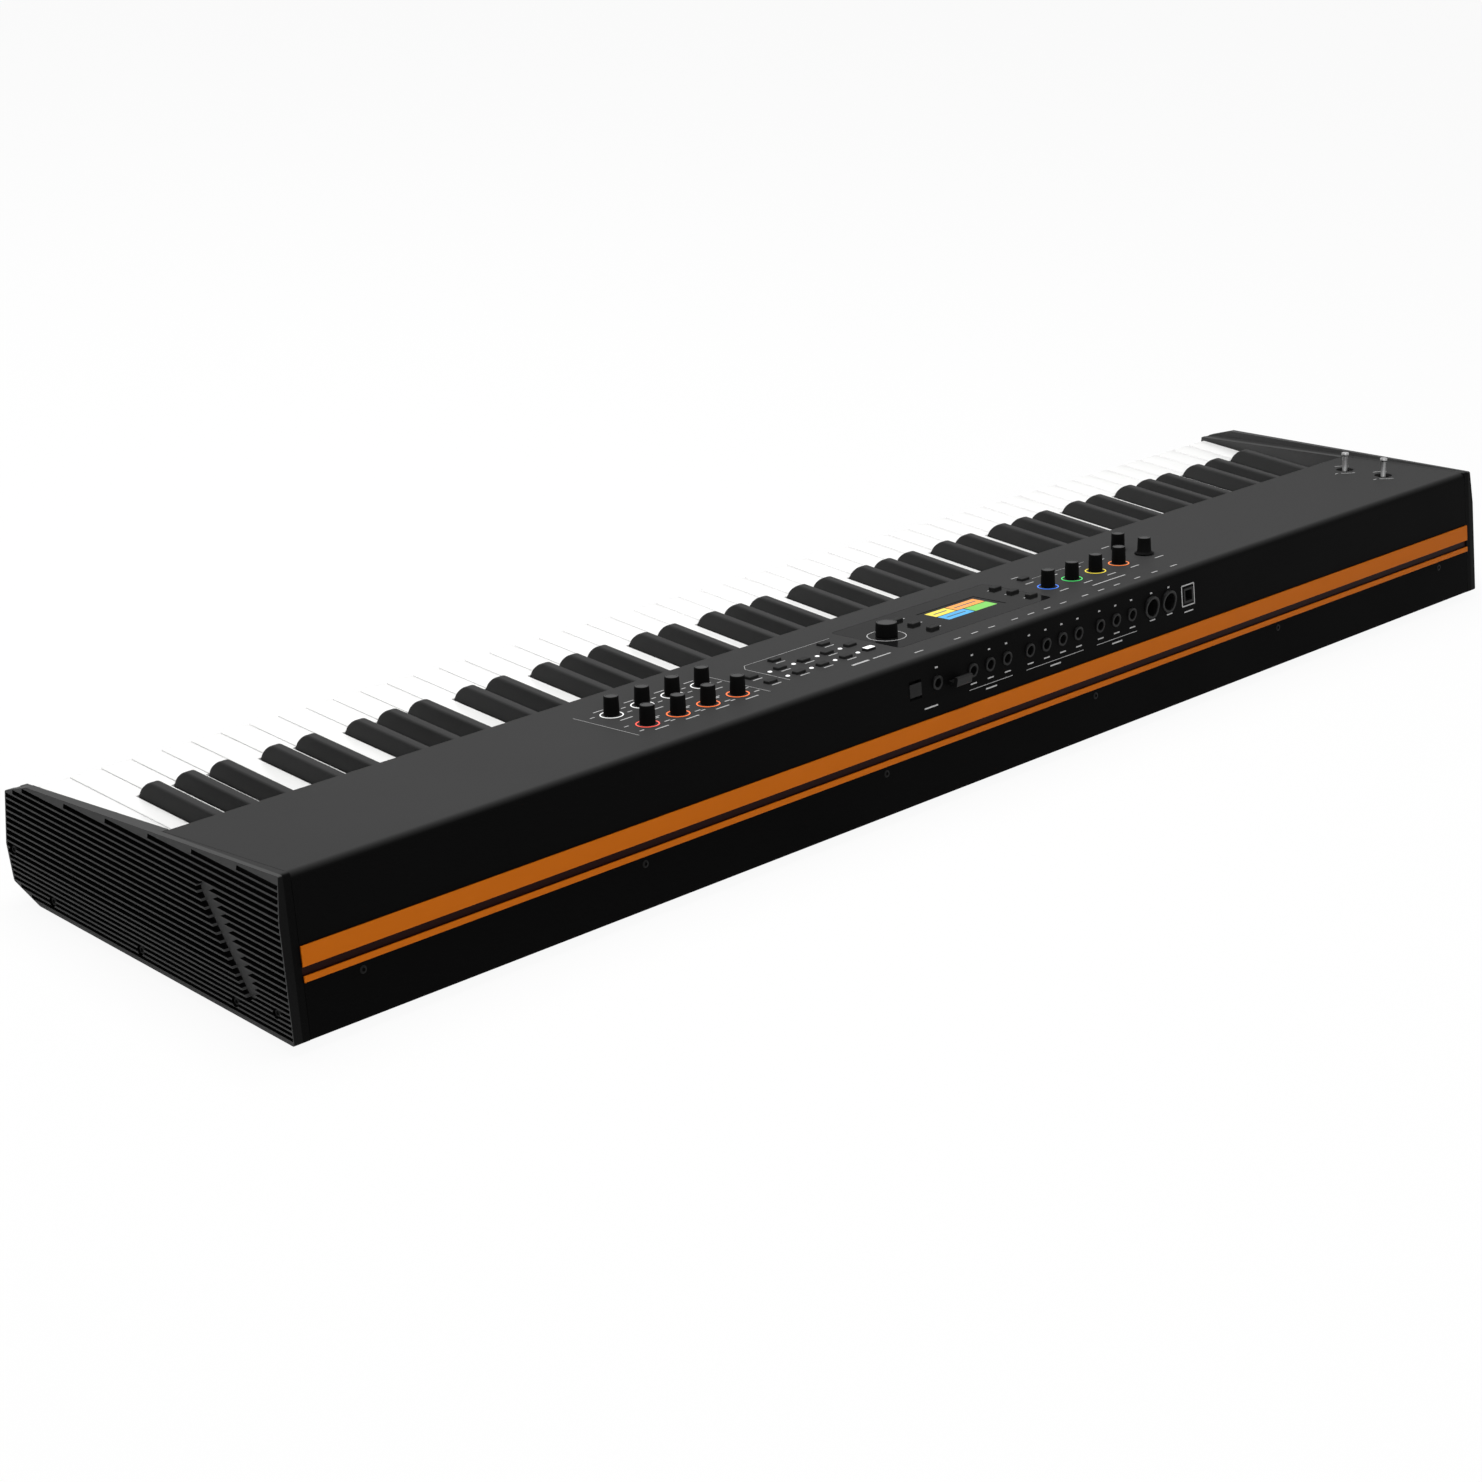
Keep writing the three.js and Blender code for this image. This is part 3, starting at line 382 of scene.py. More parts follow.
frame_metal = material("frame_metal", grey(0.4), grey(0.52), 0.35, 0.15, 1200, 20, 0.1, metallic=1)
foot_rubber = material("foot_rubber", grey(0.01), grey(0.018), 0.8, 0.1, 1500, 40, 0.3, specular=0.2)
socket_plastic = material(
    "socket_plastic", grey(0.004), grey(0.007), 0.35, 0.12, 2500, 60, 0.08, specular=0.15
)
screw_metal = material("screw_metal", grey(0.006), grey(0.012), 0.4, 0.15, 3000, 200, 0.1, specular=0.06)
print_ink = material("print_ink", grey(0.42), grey(0.52), 0.6, 0.1, 4000, 150, 0.05, specular=0.1)
print("materials", len(bpy.data.materials))

# %% [markdown]
# Three kinds of form make up nearly all of the case. Folded sheet and extruded strip are an outline drawn
# along the length, with every fold rounded. Plates are an outline raised from the panel, and a cap passes
# through several outlines. Knobs, rings and screws are a profile turned about an axis. A short flat strip is
# kept on each side of a fold, so its shading stays inside it.

# %% Form makers
def rounded(corners, steps=6):
    """A closed outline of (a, b, radius) corners, each one drawn as an arc."""
    points = []
    count = len(corners)
    for i, (a, b, radius) in enumerate(corners):
        corner = Vector((a, b))
        if radius <= 0:
            points.append(corner)
            continue
        to_last = (Vector(corners[i - 1][:2]) - corner).normalized()
        to_next = (Vector(corners[(i + 1) % count][:2]) - corner).normalized()
        half = to_last.angle(to_next) / 2
        reach = radius / math.tan(half)
        margin = min(0.3 * mm, 0.2 * radius)
        middle = corner + (to_last + to_next).normalized() * (radius / math.sin(half))
        first_ray = corner + to_last * reach - middle
        last_ray = corner + to_next * reach - middle
        sweep = first_ray.angle_signed(last_ray)
        points.append(corner + to_last * (reach + margin))
        for step in range(steps + 1):
            ray = first_ray.copy()
            ray.rotate(Matrix.Rotation(-sweep * step / steps, 2))
            points.append(middle + ray)
        points.append(corner + to_next * (reach + margin))
    return points


def rounded_rectangle(x, y, width, length, radius, steps=5):
    corners = [(x + a * width / 2, y + b * length / 2, radius) for a, b in corner_signs]
    return rounded(corners, steps)


def closed_mesh(name, points, faces):
    mesh = bpy.data.meshes.new(name)
    mesh.from_pydata([tuple(point) for point in points], [], faces)
    work = bmesh.new()
    work.from_mesh(mesh)
    bmesh.ops.recalc_face_normals(work, faces=work.faces)
    work.to_mesh(mesh)
    work.free()
    return mesh


def lofted(name, sections):
    """A closed form through outlines that have the same number of points, flat at both ends."""
    count = len(sections[0])
    points = [point for section in sections for point in section]
    faces = [list(range(count)), list(range(len(points) - count, len(points)))]
    for start in range(0, len(points) - count, count):
        for i in range(count):
            here, after = start + i, start + (i + 1) % count
            faces.append([here, after, after + count, here + count])
    return closed_mesh(name, points, faces)


def drawn(name, outline, low, high, along_x=False):
    """An outline drawn between two places: (x, y) points upwards, or (y, z) points along the length."""
    ends = [[(far, a, b) if along_x else (a, b, far) for a, b in outline] for far in (low, high)]
    return lofted(name, ends)


def turned(name, profile, sides=40):
    """A profile of (radius, height) pairs turned about Z, from axis to axis or closed on itself."""
    points, rings = [], []
    for radius, height in profile:
        if radius == 0:
            rings.append([len(points)])
            points.append((0, 0, height))
            continue
        rings.append(list(range(len(points), len(points) + sides)))
        turns = [2 * math.pi * side / sides for side in range(sides)]
        points += [(radius * math.cos(t), radius * math.sin(t), height) for t in turns]
    pairs = list(zip(rings, rings[1:]))
    if len(rings[0]) > 1:
        pairs.append((rings[-1], rings[0]))
    faces = []
    for low, high in pairs:
        for side in range(sides):
            corners = [low[side % len(low)], low[(side + 1) % len(low)]]
            corners += [high[(side + 1) % len(high)], high[side % len(high)]]
            faces.append(list(dict.fromkeys(corners)))
    return closed_mesh(name, points, faces)


def cylinder(name, radius, low, high, sides=40):
    return turned(name, [(0, low), (radius, low), (radius, high), (0, high)], sides)


def flat_ring(name, inner, outer, low, high, sides=40):
    return turned(name, [(inner, low), (outer, low), (outer, high), (inner, high)], sides)


def box_mesh(name, low, high):
    (x0, y0, z0), (x1, y1, z1) = low, high
    return drawn(name, [(x0, y0), (x1, y0), (x1, y1), (x0, y1)], z0, z1)


def mirrored(mesh):
    """The same form for the other end of the case."""
    twin = mesh.copy()
    twin.transform(Matrix.Scale(-1, 4, (1, 0, 0)))
    twin.flip_normals()
    return twin


def joined(name, meshes):
    work = bmesh.new()
    for mesh in meshes:
        work.from_mesh(mesh)
    whole = bpy.data.meshes.new(name)
    work.to_mesh(whole)
    work.free()
    return whole


test_ring = flat_ring("test_ring", 7 * mm, 8 * mm, 0, mm)
print("faces of a turned ring", len(test_ring.polygons))

# %% [markdown]
# A finished mesh becomes a piece when it rides on a body of the model, and the model pieces it stands for
# are hidden. Its edges are marked sharp where faces meet at more than a bend, so folds look round and
# machined edges stay crisp.

# %% Taking a mesh into the object
def shaded(mesh, degrees=32):
    for polygon in mesh.polygons:
        polygon.use_smooth = True
    mesh.set_sharp_from_angle(angle=math.radians(degrees))
    return mesh


def piece(name, mesh, finish, body, slot, *stands_for, placed=None):
    if placed:
        mesh.transform(placed)
    if finish:
        mesh.materials.clear()
        mesh.materials.append(finish)
    made = bpy.data.objects.new(name, shaded(mesh))
    scene.collection.objects.link(made)
    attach(made, body)
    if stands_for:
        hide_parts(*stands_for)


def temporary(mesh):
    thing = bpy.data.objects.new(mesh.name + "_temporary", mesh)
    scene.collection.objects.link(thing)
    return thing


def evaluated_mesh(thing):
    """The mesh that a temporary object has once its modifiers have run. The object is gone afterwards."""
    bpy.context.view_layer.update()
    graph = bpy.context.evaluated_depsgraph_get()
    mesh = bpy.data.meshes.new_from_object(thing.evaluated_get(graph))
    bpy.data.objects.remove(thing)
    return mesh


def carved(mesh, *cutters):
    """The mesh with other closed meshes cut out of it. The cut faces keep the cutter's material."""
    thing = temporary(mesh)
    tools = [temporary(cutter) for cutter in cutters]
    for tool in tools:
        cut = thing.modifiers.new("cut", "BOOLEAN")
        cut.operation = "DIFFERENCE"
        cut.solver = "EXACT"
        cut.material_mode = "TRANSFER"
        cut.object = tool
    result = evaluated_mesh(thing)
    for tool in tools:
        bpy.data.objects.remove(tool)
    return result


trial_block = box_mesh("trial_block", (-mm, -mm, -mm), (mm, mm, mm))
trial_cutter = box_mesh("trial_cutter", (0, 0, 0), (2 * mm, 2 * mm, 2 * mm))
print("faces of a block with a corner carved out", len(carved(trial_block, trial_cutter).polygons))

# %% [markdown]
# Rear sockets and the screws below them come in rows: the same piece at an even pitch. A small geometry
# nodes tree takes the seed piece, the first place, the step and the count, and puts out one real mesh with
# its material. Rings, buttons, lights, posts and sharps have uneven gaps, so a second tree copies its seed
# to the points of a mesh instead.

# %% Copies in a row and at places
row_inputs = (
    ("Seed", "NodeSocketObject"),
    ("First", "NodeSocketVector"),
    ("Step", "NodeSocketVector"),
    ("Count", "NodeSocketInt"),
    ("Material", "NodeSocketMaterial"),
)
place_inputs = (
    ("Places", "NodeSocketGeometry"),
    ("Seed", "NodeSocketObject"),
    ("Material", "NodeSocketMaterial"),
)


def copies_tree(name, inputs, points_from):
    tree = bpy.data.node_groups.new(name, "GeometryNodeTree")
    for socket, kind in inputs:
        tree.interface.new_socket(socket, in_out="INPUT", socket_type=kind)
    tree.interface.new_socket("Geometry", in_out="OUTPUT", socket_type="NodeSocketGeometry")
    link = tree.links.new
    start = tree.nodes.new("NodeGroupInput")
    seed = tree.nodes.new("GeometryNodeObjectInfo")
    copy = tree.nodes.new("GeometryNodeInstanceOnPoints")
    real = tree.nodes.new("GeometryNodeRealizeInstances")
    finish = tree.nodes.new("GeometryNodeSetMaterial")
    end = tree.nodes.new("NodeGroupOutput")
    link(start.outputs["Seed"], seed.inputs["Object"])
    link(points_from(tree, start), copy.inputs["Points"])
    link(seed.outputs["Geometry"], copy.inputs["Instance"])
    link(copy.outputs[0], real.inputs[0])
    link(real.outputs[0], finish.inputs["Geometry"])
    link(start.outputs["Material"], finish.inputs["Material"])
    link(finish.outputs[0], end.inputs[0])
    return tree


def row_points(tree, start):
    line = tree.nodes.new("GeometryNodeMeshLine")
    line.mode = "OFFSET"
    for socket, value in (("Count", "Count"), ("Start Location", "First"), ("Offset", "Step")):
        tree.links.new(start.outputs[value], line.inputs[socket])
    return line.outputs[0]


row_tree = copies_tree("row_of_copies", row_inputs, row_points)
place_tree = copies_tree("copies_at_places", place_inputs, lambda tree, start: start.outputs["Places"])


def copies(tree, base, seed_mesh, finish, **values):
    seed = temporary(seed_mesh)
    thing = temporary(base)
    modifier = thing.modifiers.new("copies", "NODES")
    modifier.node_group = tree
    values.update(Seed=seed, Material=finish)
    for socket in tree.interface.items_tree:
        if socket.in_out == "INPUT" and socket.name in values:
            modifier[socket.identifier] = values[socket.name]
    result = evaluated_mesh(thing)
    bpy.data.objects.remove(seed)
    return result


def row(seed_mesh, finish, first, step, count):
    base = bpy.data.meshes.new("row_base")
    return copies(row_tree, base, seed_mesh, finish, First=first, Step=step, Count=count)


def at_places(seed_mesh, finish, places):
    base = bpy.data.meshes.new("places")
    base.from_pydata([tuple(place) for place in places], [], [])
    return copies(place_tree, base, seed_mesh, finish)


print("trees", row_tree.name, place_tree.name)

# %% [markdown]
# Where the controls sit on the panel, in millimetres: along the length, and in front of the rear edge. The
# model's own knobs, sticks and plates are measured in the panel's frame, so the dressed pieces follow them.

# %% Places on the panel
to_panel = panel_frame.inverted()


def panel_box(node):
    """The box of a model piece in the panel's frame."""
    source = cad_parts[node]
    corners = [to_panel @ (source.matrix_world @ vertex.co) for vertex in source.data.vertices]
    low = Vector([min(corner[axis] for corner in corners) for axis in range(3)])
    high = Vector([max(corner[axis] for corner in corners) for axis in range(3)])
    return low, high


def panel_spot(node):
    low, high = panel_box(node)
    return Vector(((low.x + high.x) / 2, (low.y + high.y) / 2, 0))


def on_panel(x, row_in_front, height=0.0):
    return Vector((x, -row_in_front, height)) * mm


knob_nodes = [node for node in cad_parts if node.endswith("_knob") or "_knob_" in node]
button_columns = [148, 124.3, 100.6, 76.9]
button_rows = [76, 59.8, 42.6]
bracket_columns = [136, 86.3]
effect_button_x, display_left_x, display_right_x, zone_button_x = 176, 9, -101.5, -134
far_row_xs = (*bracket_columns, display_left_x, display_right_x, zone_button_x)
button_spots = [(x, button_rows[0]) for x in far_row_xs]
for line in button_rows[1:]:
    button_spots += [(x, line) for x in (*button_columns, effect_button_x, display_left_x, display_right_x)]
stick_spots = [panel_spot("stick_front"), panel_spot("stick_rear")]
print("knobs", len(knob_nodes), "buttons", len(button_spots))

# %% [markdown]
# The cover is one sheet of painted steel, folded over a press brake: a short lip above the keys, the slanted
# panel, a round rear edge and the upper rear wall. It is drawn along the length from its rounded outline,
# and then every opening is cut, as a punch would: knob shafts, sticks, buttons, the bed of the glossy
# overlay and the rear sockets.

# %% Folded cover
sheet = 2 * mm
bend_radius = 6 * mm
lip_y = rear_top_y - 116.5 * mm
lip_depth = 5.25 * mm
trim_low, trim_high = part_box("rear_stripe_trim")
shell_half = trim_high.x
gap = 0.3 * mm
cover_foot = trim_high.z + gap
panel_skin = sheet / math.cos(panel_angle)
wall_skin = sheet / math.cos(wall_angle)
lip_foot = panel_z(lip_y) - lip_depth
inner_corner_y = rear_top_y - wall_skin + panel_skin * math.tan(wall_angle)
cover_corners = [
    (lip_y, lip_foot, 0),
    (lip_y, panel_z(lip_y), 1.2 * mm),
    (rear_top_y, top_z, bend_radius),
    (wall_y(cover_foot), cover_foot, 0),
    (wall_y(cover_foot) - wall_skin, cover_foot, 0),
    (inner_corner_y, panel_z(inner_corner_y) - panel_skin, bend_radius - sheet),
    (lip_y + sheet, panel_z(lip_y + sheet) - panel_skin, 0),
    (lip_y + sheet, lip_foot, 0),
]
cover_mesh = drawn("cover", rounded(cover_corners, 12), -shell_half, shell_half, along_x=True)
# Past the round rear edge this paint turns to a painted shade on the rear wall.
cover_mesh.materials.append(cover_paint)

through = 5 * mm
shaft_opening, stick_opening = 3.6 * mm, 7.2 * mm
shaft_hole = cylinder("shaft_hole", shaft_opening, -through, through, 24)
shaft_holes = at_places(shaft_hole, cover_paint, [panel_spot(node) for node in knob_nodes])
stick_hole = cylinder("stick_hole", stick_opening, -through, through)
stick_holes = at_places(stick_hole, cover_paint, stick_spots)
button_width, button_length = 9 * mm, 5.5 * mm
button_room = rounded_rectangle(0, 0, button_width + 2 * gap, button_length + 2 * gap, 0.9 * mm, 3)
button_hole = drawn("button_hole", button_room, -through, through)
button_holes = at_places(button_hole, cover_paint, [on_panel(*spot) for spot in button_spots])
overlay_low, overlay_high = panel_box("control_overlay")
overlay_middle = (overlay_low + overlay_high) / 2
overlay_size = overlay_high - overlay_low
overlay_room = (overlay_size.x + 2 * gap, overlay_size.y + 2 * gap)
overlay_outline = rounded_rectangle(overlay_middle.x, overlay_middle.y, *overlay_room, 4 * mm)
overlay_bed = drawn("overlay_bed", overlay_outline, -1.2 * mm, through)
screen_left, screen_right, screen_front, screen_rear = -75.5, -11.5, 75.5, 44.5
window_reach = 6
window_low = on_panel(screen_left, screen_front, -window_reach)
window_high = on_panel(screen_right, screen_rear, window_reach)
screen_window = box_mesh("screen_window", window_low, window_high)
panel_cutters = [shaft_holes, stick_holes, button_holes, overlay_bed, screen_window]
for cutter in panel_cutters:
    cutter.transform(panel_frame)

socket_line = 78.5
socket_height = socket_line * mm + floor_z
inlet_x, usb_x, switch_x = 57, -232.4, 80
jack_rows = [(19, 18.7, 3), (-44, 18.5, 4), (-125, 19, 3)]
round_row, inlet_row = (-187.5, 21.2, 2), (inlet_x, 1, 1)
facing_rear = Matrix.Rotation(-math.pi / 2, 4, "X")


def rear_row(seed_mesh, finish, first, pitch, count, y, z=socket_height):
    """Copies along the rear wall, from the treble end towards the bass end, in millimetres."""
    return row(seed_mesh, finish, (first * mm, y, z), (-pitch * mm, 0, 0), count)


def row_xs(first, pitch, count):
    return [first - n * pitch for n in range(count)]


def rear_bore(radius):
    bore = cylinder("rear_bore", radius, -bore_depth, bore_rise, 32)
    bore.transform(facing_rear)
    return bore


hole_y = wall_y(socket_height)
bore_depth, bore_rise = 8 * mm, 12 * mm
jack_bore, round_bore, inlet_bore = 5.2 * mm, 8.7 * mm, 5.3 * mm
bored_rows = [(jack_bore, line) for line in jack_rows] + [(round_bore, round_row), (inlet_bore, inlet_row)]
wall_cutters = [rear_row(rear_bore(radius), body_paint, *line, hole_y) for radius, line in bored_rows]
square_openings = [(usb_x, 6.2, 5.7), (switch_x, 6.3, 6.5)]
for x, half_x, half_z in square_openings:
    low = (x - half_x) * mm, hole_y - bore_depth, socket_height - half_z * mm
    high = (x + half_x) * mm, hole_y + bore_rise, socket_height + half_z * mm
    wall_cutters.append(box_mesh("wall_box", low, high))
cover_mesh = carved(cover_mesh, *panel_cutters, *wall_cutters)
piece("cover", cover_mesh, cover_paint, "case", "panel_paint", "top_cover")
print("cover faces", len(cover_mesh.polygons))

# %% [markdown]
# Under the panel the cover carries eight posts for the circuit board and a pair of lugs for each stick's
# ring. Beside the power inlet it has a hook that keeps the cable from being pulled out.

# %% Posts, lugs and cable hook
board_low, board_high = panel_box("main_board")
post_radius, post_low, lug_low, fixing_top = 3 * mm, -9.7 * mm, -14 * mm, -1.9 * mm
post = cylinder("post", post_radius, post_low, fixing_top, 20)
post_margin, screen_middle, effect_side = 6 * mm, (screen_left + screen_right) / 2 * mm, 192.5 * mm
post_xs = [board_low.x + post_margin, screen_middle, effect_side, board_high.x - post_margin]
post_ys = [board_low.y + post_radius, board_high.y - post_radius]
posts = at_places(post, frame_metal, [(x, y, 0) for x in post_xs for y in post_ys])
lug_half_x, lug_half_y, lug_offset = 1.5 * mm, 3.6 * mm, 12.7 * mm
lug = box_mesh("lug", (-lug_half_x, -lug_half_y, lug_low), (lug_half_x, lug_half_y, fixing_top))
lug_places = [spot + Vector((side * lug_offset, 0, 0)) for spot in stick_spots for side in (-1, 1)]
lugs = at_places(lug, frame_metal, lug_places)
inside = joined("cover_inside", [posts, lugs])
piece("cover_inside", inside, frame_metal, "case", "frame_metal", placed=panel_frame)

hook_x, hook_half, hook_reach = 37 * mm, 8 * mm, 7 * mm
hook_rise, hook_thickness, hook_edge = 7 * mm, 3 * mm, 0.8 * mm
hook_low = 74 * mm + floor_z
hook_back = wall_y(hook_low) - sheet / 2
hook_end = wall_y(hook_low) + hook_reach
hook_outline = [
    (hook_back, hook_low, 0),
    (hook_end, hook_low, 1.4 * mm),
    (hook_end, hook_low + hook_rise, hook_edge),
    (hook_end - hook_thickness, hook_low + hook_rise, hook_edge),
    (hook_end - hook_thickness, hook_low + hook_thickness, hook_edge),
    (hook_back, hook_low + hook_thickness, 0),
]
hook_mesh = drawn("hook", rounded(hook_outline, 4), hook_x - hook_half, hook_x + hook_half, along_x=True)
piece("cable_hook", hook_mesh, socket_plastic, "case", "body_paint")
print("posts", len(post_xs) * len(post_ys), "lugs", len(lug_places))

# %% [markdown]
# Below the cover runs an extruded strip in satin orange: a broad band, a groove and a thin band. Its
# colour is dark brown except where it stands proud, so the groove carries painted shade. The tray under it
# is folded sheet again, with the lower rear wall, the floor and the chin. A plain rail closes the case in
# front of the keys. Tray and rail take the near-black painted shade of the rear wall. All three are drawn
# along the length from outlines with small rounded edges.

# %% Orange strip, tray and front rail
trim_top, trim_foot = trim_high.z, trim_low.z
band_foot = trim_top - 12 * mm
thin_top = trim_foot + 3.8 * mm
proud, groove = 1.2 * mm, 1 * mm
small = 0.35 * mm
trim_corners = [
    (wall_y(trim_top) - wall_skin, trim_top, 0),
    (wall_y(trim_top) + proud, trim_top, small),
    (wall_y(band_foot) + proud, band_foot, small),
    (wall_y(band_foot) - groove, band_foot - groove, 0),
    (wall_y(thin_top) - groove, thin_top, 0),
    (wall_y(thin_top) + proud, thin_top, small),
    (wall_y(trim_foot) + proud, trim_foot, small),
    (wall_y(trim_foot) - wall_skin, trim_foot, 0),
]
trim_mesh = drawn("trim", rounded(trim_corners, 4), -shell_half, shell_half, along_x=True)
piece("orange_strip", trim_mesh, trim_paint, "case", "trim_paint", "rear_stripe_trim")

rail_low, rail_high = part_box("front_rail")
tray_top = trim_foot - gap
straight_z = 30.6 * mm + floor_z
chin_inset, chin_depth, chin_height = 7.4 * mm, 34 * mm, 8 * mm
chin_foot_y = front_y + chin_depth
chin_slope = chin_height / (chin_depth - chin_inset)
chin_lift = sheet * math.hypot(1, chin_slope)
tray_corners = [
    (wall_y(tray_top), tray_top, 0),
    (rear_y, floor_z, 1.8 * mm),
    (chin_foot_y, floor_z, 3 * mm),
    (front_y + chin_inset, floor_z + chin_height, 0),
    (chin_foot_y - (chin_height - chin_lift) / chin_slope, floor_z + chin_height, 0),
    (chin_foot_y - (sheet - chin_lift) / chin_slope, floor_z + sheet, 0),
    (wall_y(floor_z + sheet) - wall_skin, floor_z + sheet, 0),
    (wall_y(tray_top) - wall_skin, tray_top, 0),
]
tray_mesh = drawn("tray", rounded(tray_corners, 6), -shell_half, shell_half, along_x=True)
piece("tray", tray_mesh, body_paint, "case", "body_paint", "bottom_tray")

rail_thickness = 4 * mm
rail_corners = [
    (front_y + chin_inset, rail_low.z, 0),
    (front_y, straight_z, 3 * mm),
    (front_y, rail_high.z, 1 * mm),
    (front_y + rail_thickness, rail_high.z, 1 * mm),
    (front_y + rail_thickness, straight_z, 0),
    (front_y + chin_inset + rail_thickness, rail_low.z, 0),
]
rail_mesh = drawn("rail", rounded(rail_corners, 5), rail_low.x, rail_high.x, along_x=True)
piece("rail", rail_mesh, body_paint, "case", "body_paint", "front_rail")
print("strip", round((trim_top - trim_foot) / mm, 1), "mm high")

# %% [markdown]
# Each end cheek is a moulded plate with fine level ribs along the depth: their pitch is about 3.3 mm low
# down and 4.1 mm above. The top edge slants, so each rib runs out at a smooth band below that edge. The
# outer half of the plate stands up to about 6 mm above the inner half at the front, as a rim that ends flush
# at the rear. It is drawn from its side outline, cut so that it leans in near the top, and grooved with
# bars. A plain slanted hollow breaks the ribs near the rear, and five small round pockets take the screws.
# The floors of the grooves and the pockets are near black as painted shade, and the plate's rear face turns
# near black as painted shade too. The inner half, painted as the cover is, and the thinner tongue are plain
# outlines.

# %% Ribbed end cheeks
cheek_width = half_width - cheek_low.x
tongue_width = 5 * mm
plate_inner = half_width - cheek_width + tongue_width
rim_width, top_band, rim = 6 * mm, 1.7 * mm, 0.9 * mm
groove_depth, rib_width = 3.6 * mm, 1.2 * mm
shortest_groove, beyond_face = 3 * mm, 2 * mm
lean_height, lean_inset = 26 * mm, 3 * mm
rib_rows = [(8.2, 3.27, 8), (34.9, 4.06, 17)]
ribs = [first * mm + pitch * mm * n for first, pitch, count in rib_rows for n in range(count)]
rim_front = (-117 * mm, 80.9 * mm)
cheek_corners = [
    (front_y, floor_z + front_height, 1.5 * mm),
    (front_y, straight_z, 3 * mm),
    (front_y + chin_inset, floor_z + chin_height, 3 * mm),
    (chin_foot_y, floor_z, 3 * mm),
    (rear_y, floor_z, 1.5 * mm),
    (rear_top_y, top_z, 1.5 * mm),
]
outer_corners = [cheek_corners[0], (*rim_front, 3 * mm)] + cheek_corners[:0:-1]
cheek_outline = [(a, b) for a, b, _ in outer_corners]
rim_angle = math.atan2(top_z - rim_front[1], rear_top_y - rim_front[0])


def span_at(z):
    """The stretch of depth inside the cheek's outline at a height, less the rim."""
    crossings = []
    for (y0, z0), (y1, z1) in zip(cheek_outline, cheek_outline[1:] + cheek_outline[:1]):
        if (z0 - z) * (z1 - z) < 0:
            crossings.append(y0 + (y1 - y0) * (z - z0) / (z1 - z0))
    return min(crossings) + rim, max(crossings) - rim


def groove_bars():
    """Long bars, one for each groove between two ribs, as deep as the grooves; the faces they cut take a
    painted shade.
    """
    bars = []
    for lower, upper in zip(ribs, ribs[1:]):
        low, high = lower + rib_width / 2, upper - rib_width / 2
        (start_low, end_low), (start_high, end_high) = span_at(low), span_at(high)
        start, end = max(start_low, start_high), min(end_low, end_high)
        if high > rim_front[1] - top_band:
            start = max(start, rear_top_y - (top_z - top_band - high) / math.tan(rim_angle))
        if end - start > shortest_groove:
            near, far = (half_width - groove_depth, start, low), (half_width + beyond_face, end, high)
            bars.append(box_mesh("bar", near, far))
    whole = joined("groove_bars", bars)
    whole.materials.append(groove_painted_shade)
    return whole


def cut_off(mesh, place, normal):
    """Takes away what lies beyond a plane, and closes the mesh again."""
    work = bmesh.new()
    work.from_mesh(mesh)
    everything = work.verts[:] + work.edges[:] + work.faces[:]
    bmesh.ops.bisect_plane(work, geom=everything, plane_co=place, plane_no=normal, clear_outer=True)
    bmesh.ops.holes_fill(work, edges=[edge for edge in work.edges if edge.is_boundary])
    bmesh.ops.recalc_face_normals(work, faces=work.faces)
    work.to_mesh(mesh)
    work.free()
    return mesh


def slanted_hollow():
    start, end, radius, depth = Vector((55, 68)) * mm, Vector((97, 20)) * mm, 5.5 * mm, 3.9 * mm
    direction = (end - start).normalized()
    side = Vector((-direction.y, direction.x)) * radius
    start, end = start - direction * radius, end + direction * radius
    corners = [start - side, end - side, end + side, start + side]
    outline = rounded([(corner.x, corner.y + floor_z, radius * 0.9) for corner in corners], 10)
    return drawn("hollow", outline, half_width - depth, half_width + beyond_face, along_x=True)


def tongue():
    """The thinner inner part of a cheek, which the folded sheets close over."""
    reach, setback = 84 * mm + floor_z, 2.4 * mm
    corners = [
        (front_y, floor_z + front_height),
        (front_y, straight_z),
        (front_y + chin_inset, floor_z + chin_height),
        (chin_foot_y, floor_z),
        (wall_y(floor_z) - setback, floor_z),
        (wall_y(reach) - setback, reach),
        (lip_y, panel_z(lip_y) - sheet - gap),
        (lip_y, panel_z(lip_y)),
    ]
    return drawn("tongue", corners, half_width - cheek_width, plate_inner, along_x=True)


cheek_screws = [(-131.6, 28.3), (-91.4, 7.7), (-4, 7.7), (84.9, 8.2), (121.8, 15.1)]
facing_treble = Matrix.Rotation(math.pi / 2, 4, "Y")
screw_places = [(half_width, y * mm, z * mm + floor_z) for y, z in cheek_screws]
pocket_radius, pocket_depth = 3.2 * mm, 3.7 * mm
pocket = cylinder("pocket", pocket_radius, -pocket_depth, mm, 28)
pocket.transform(facing_treble)
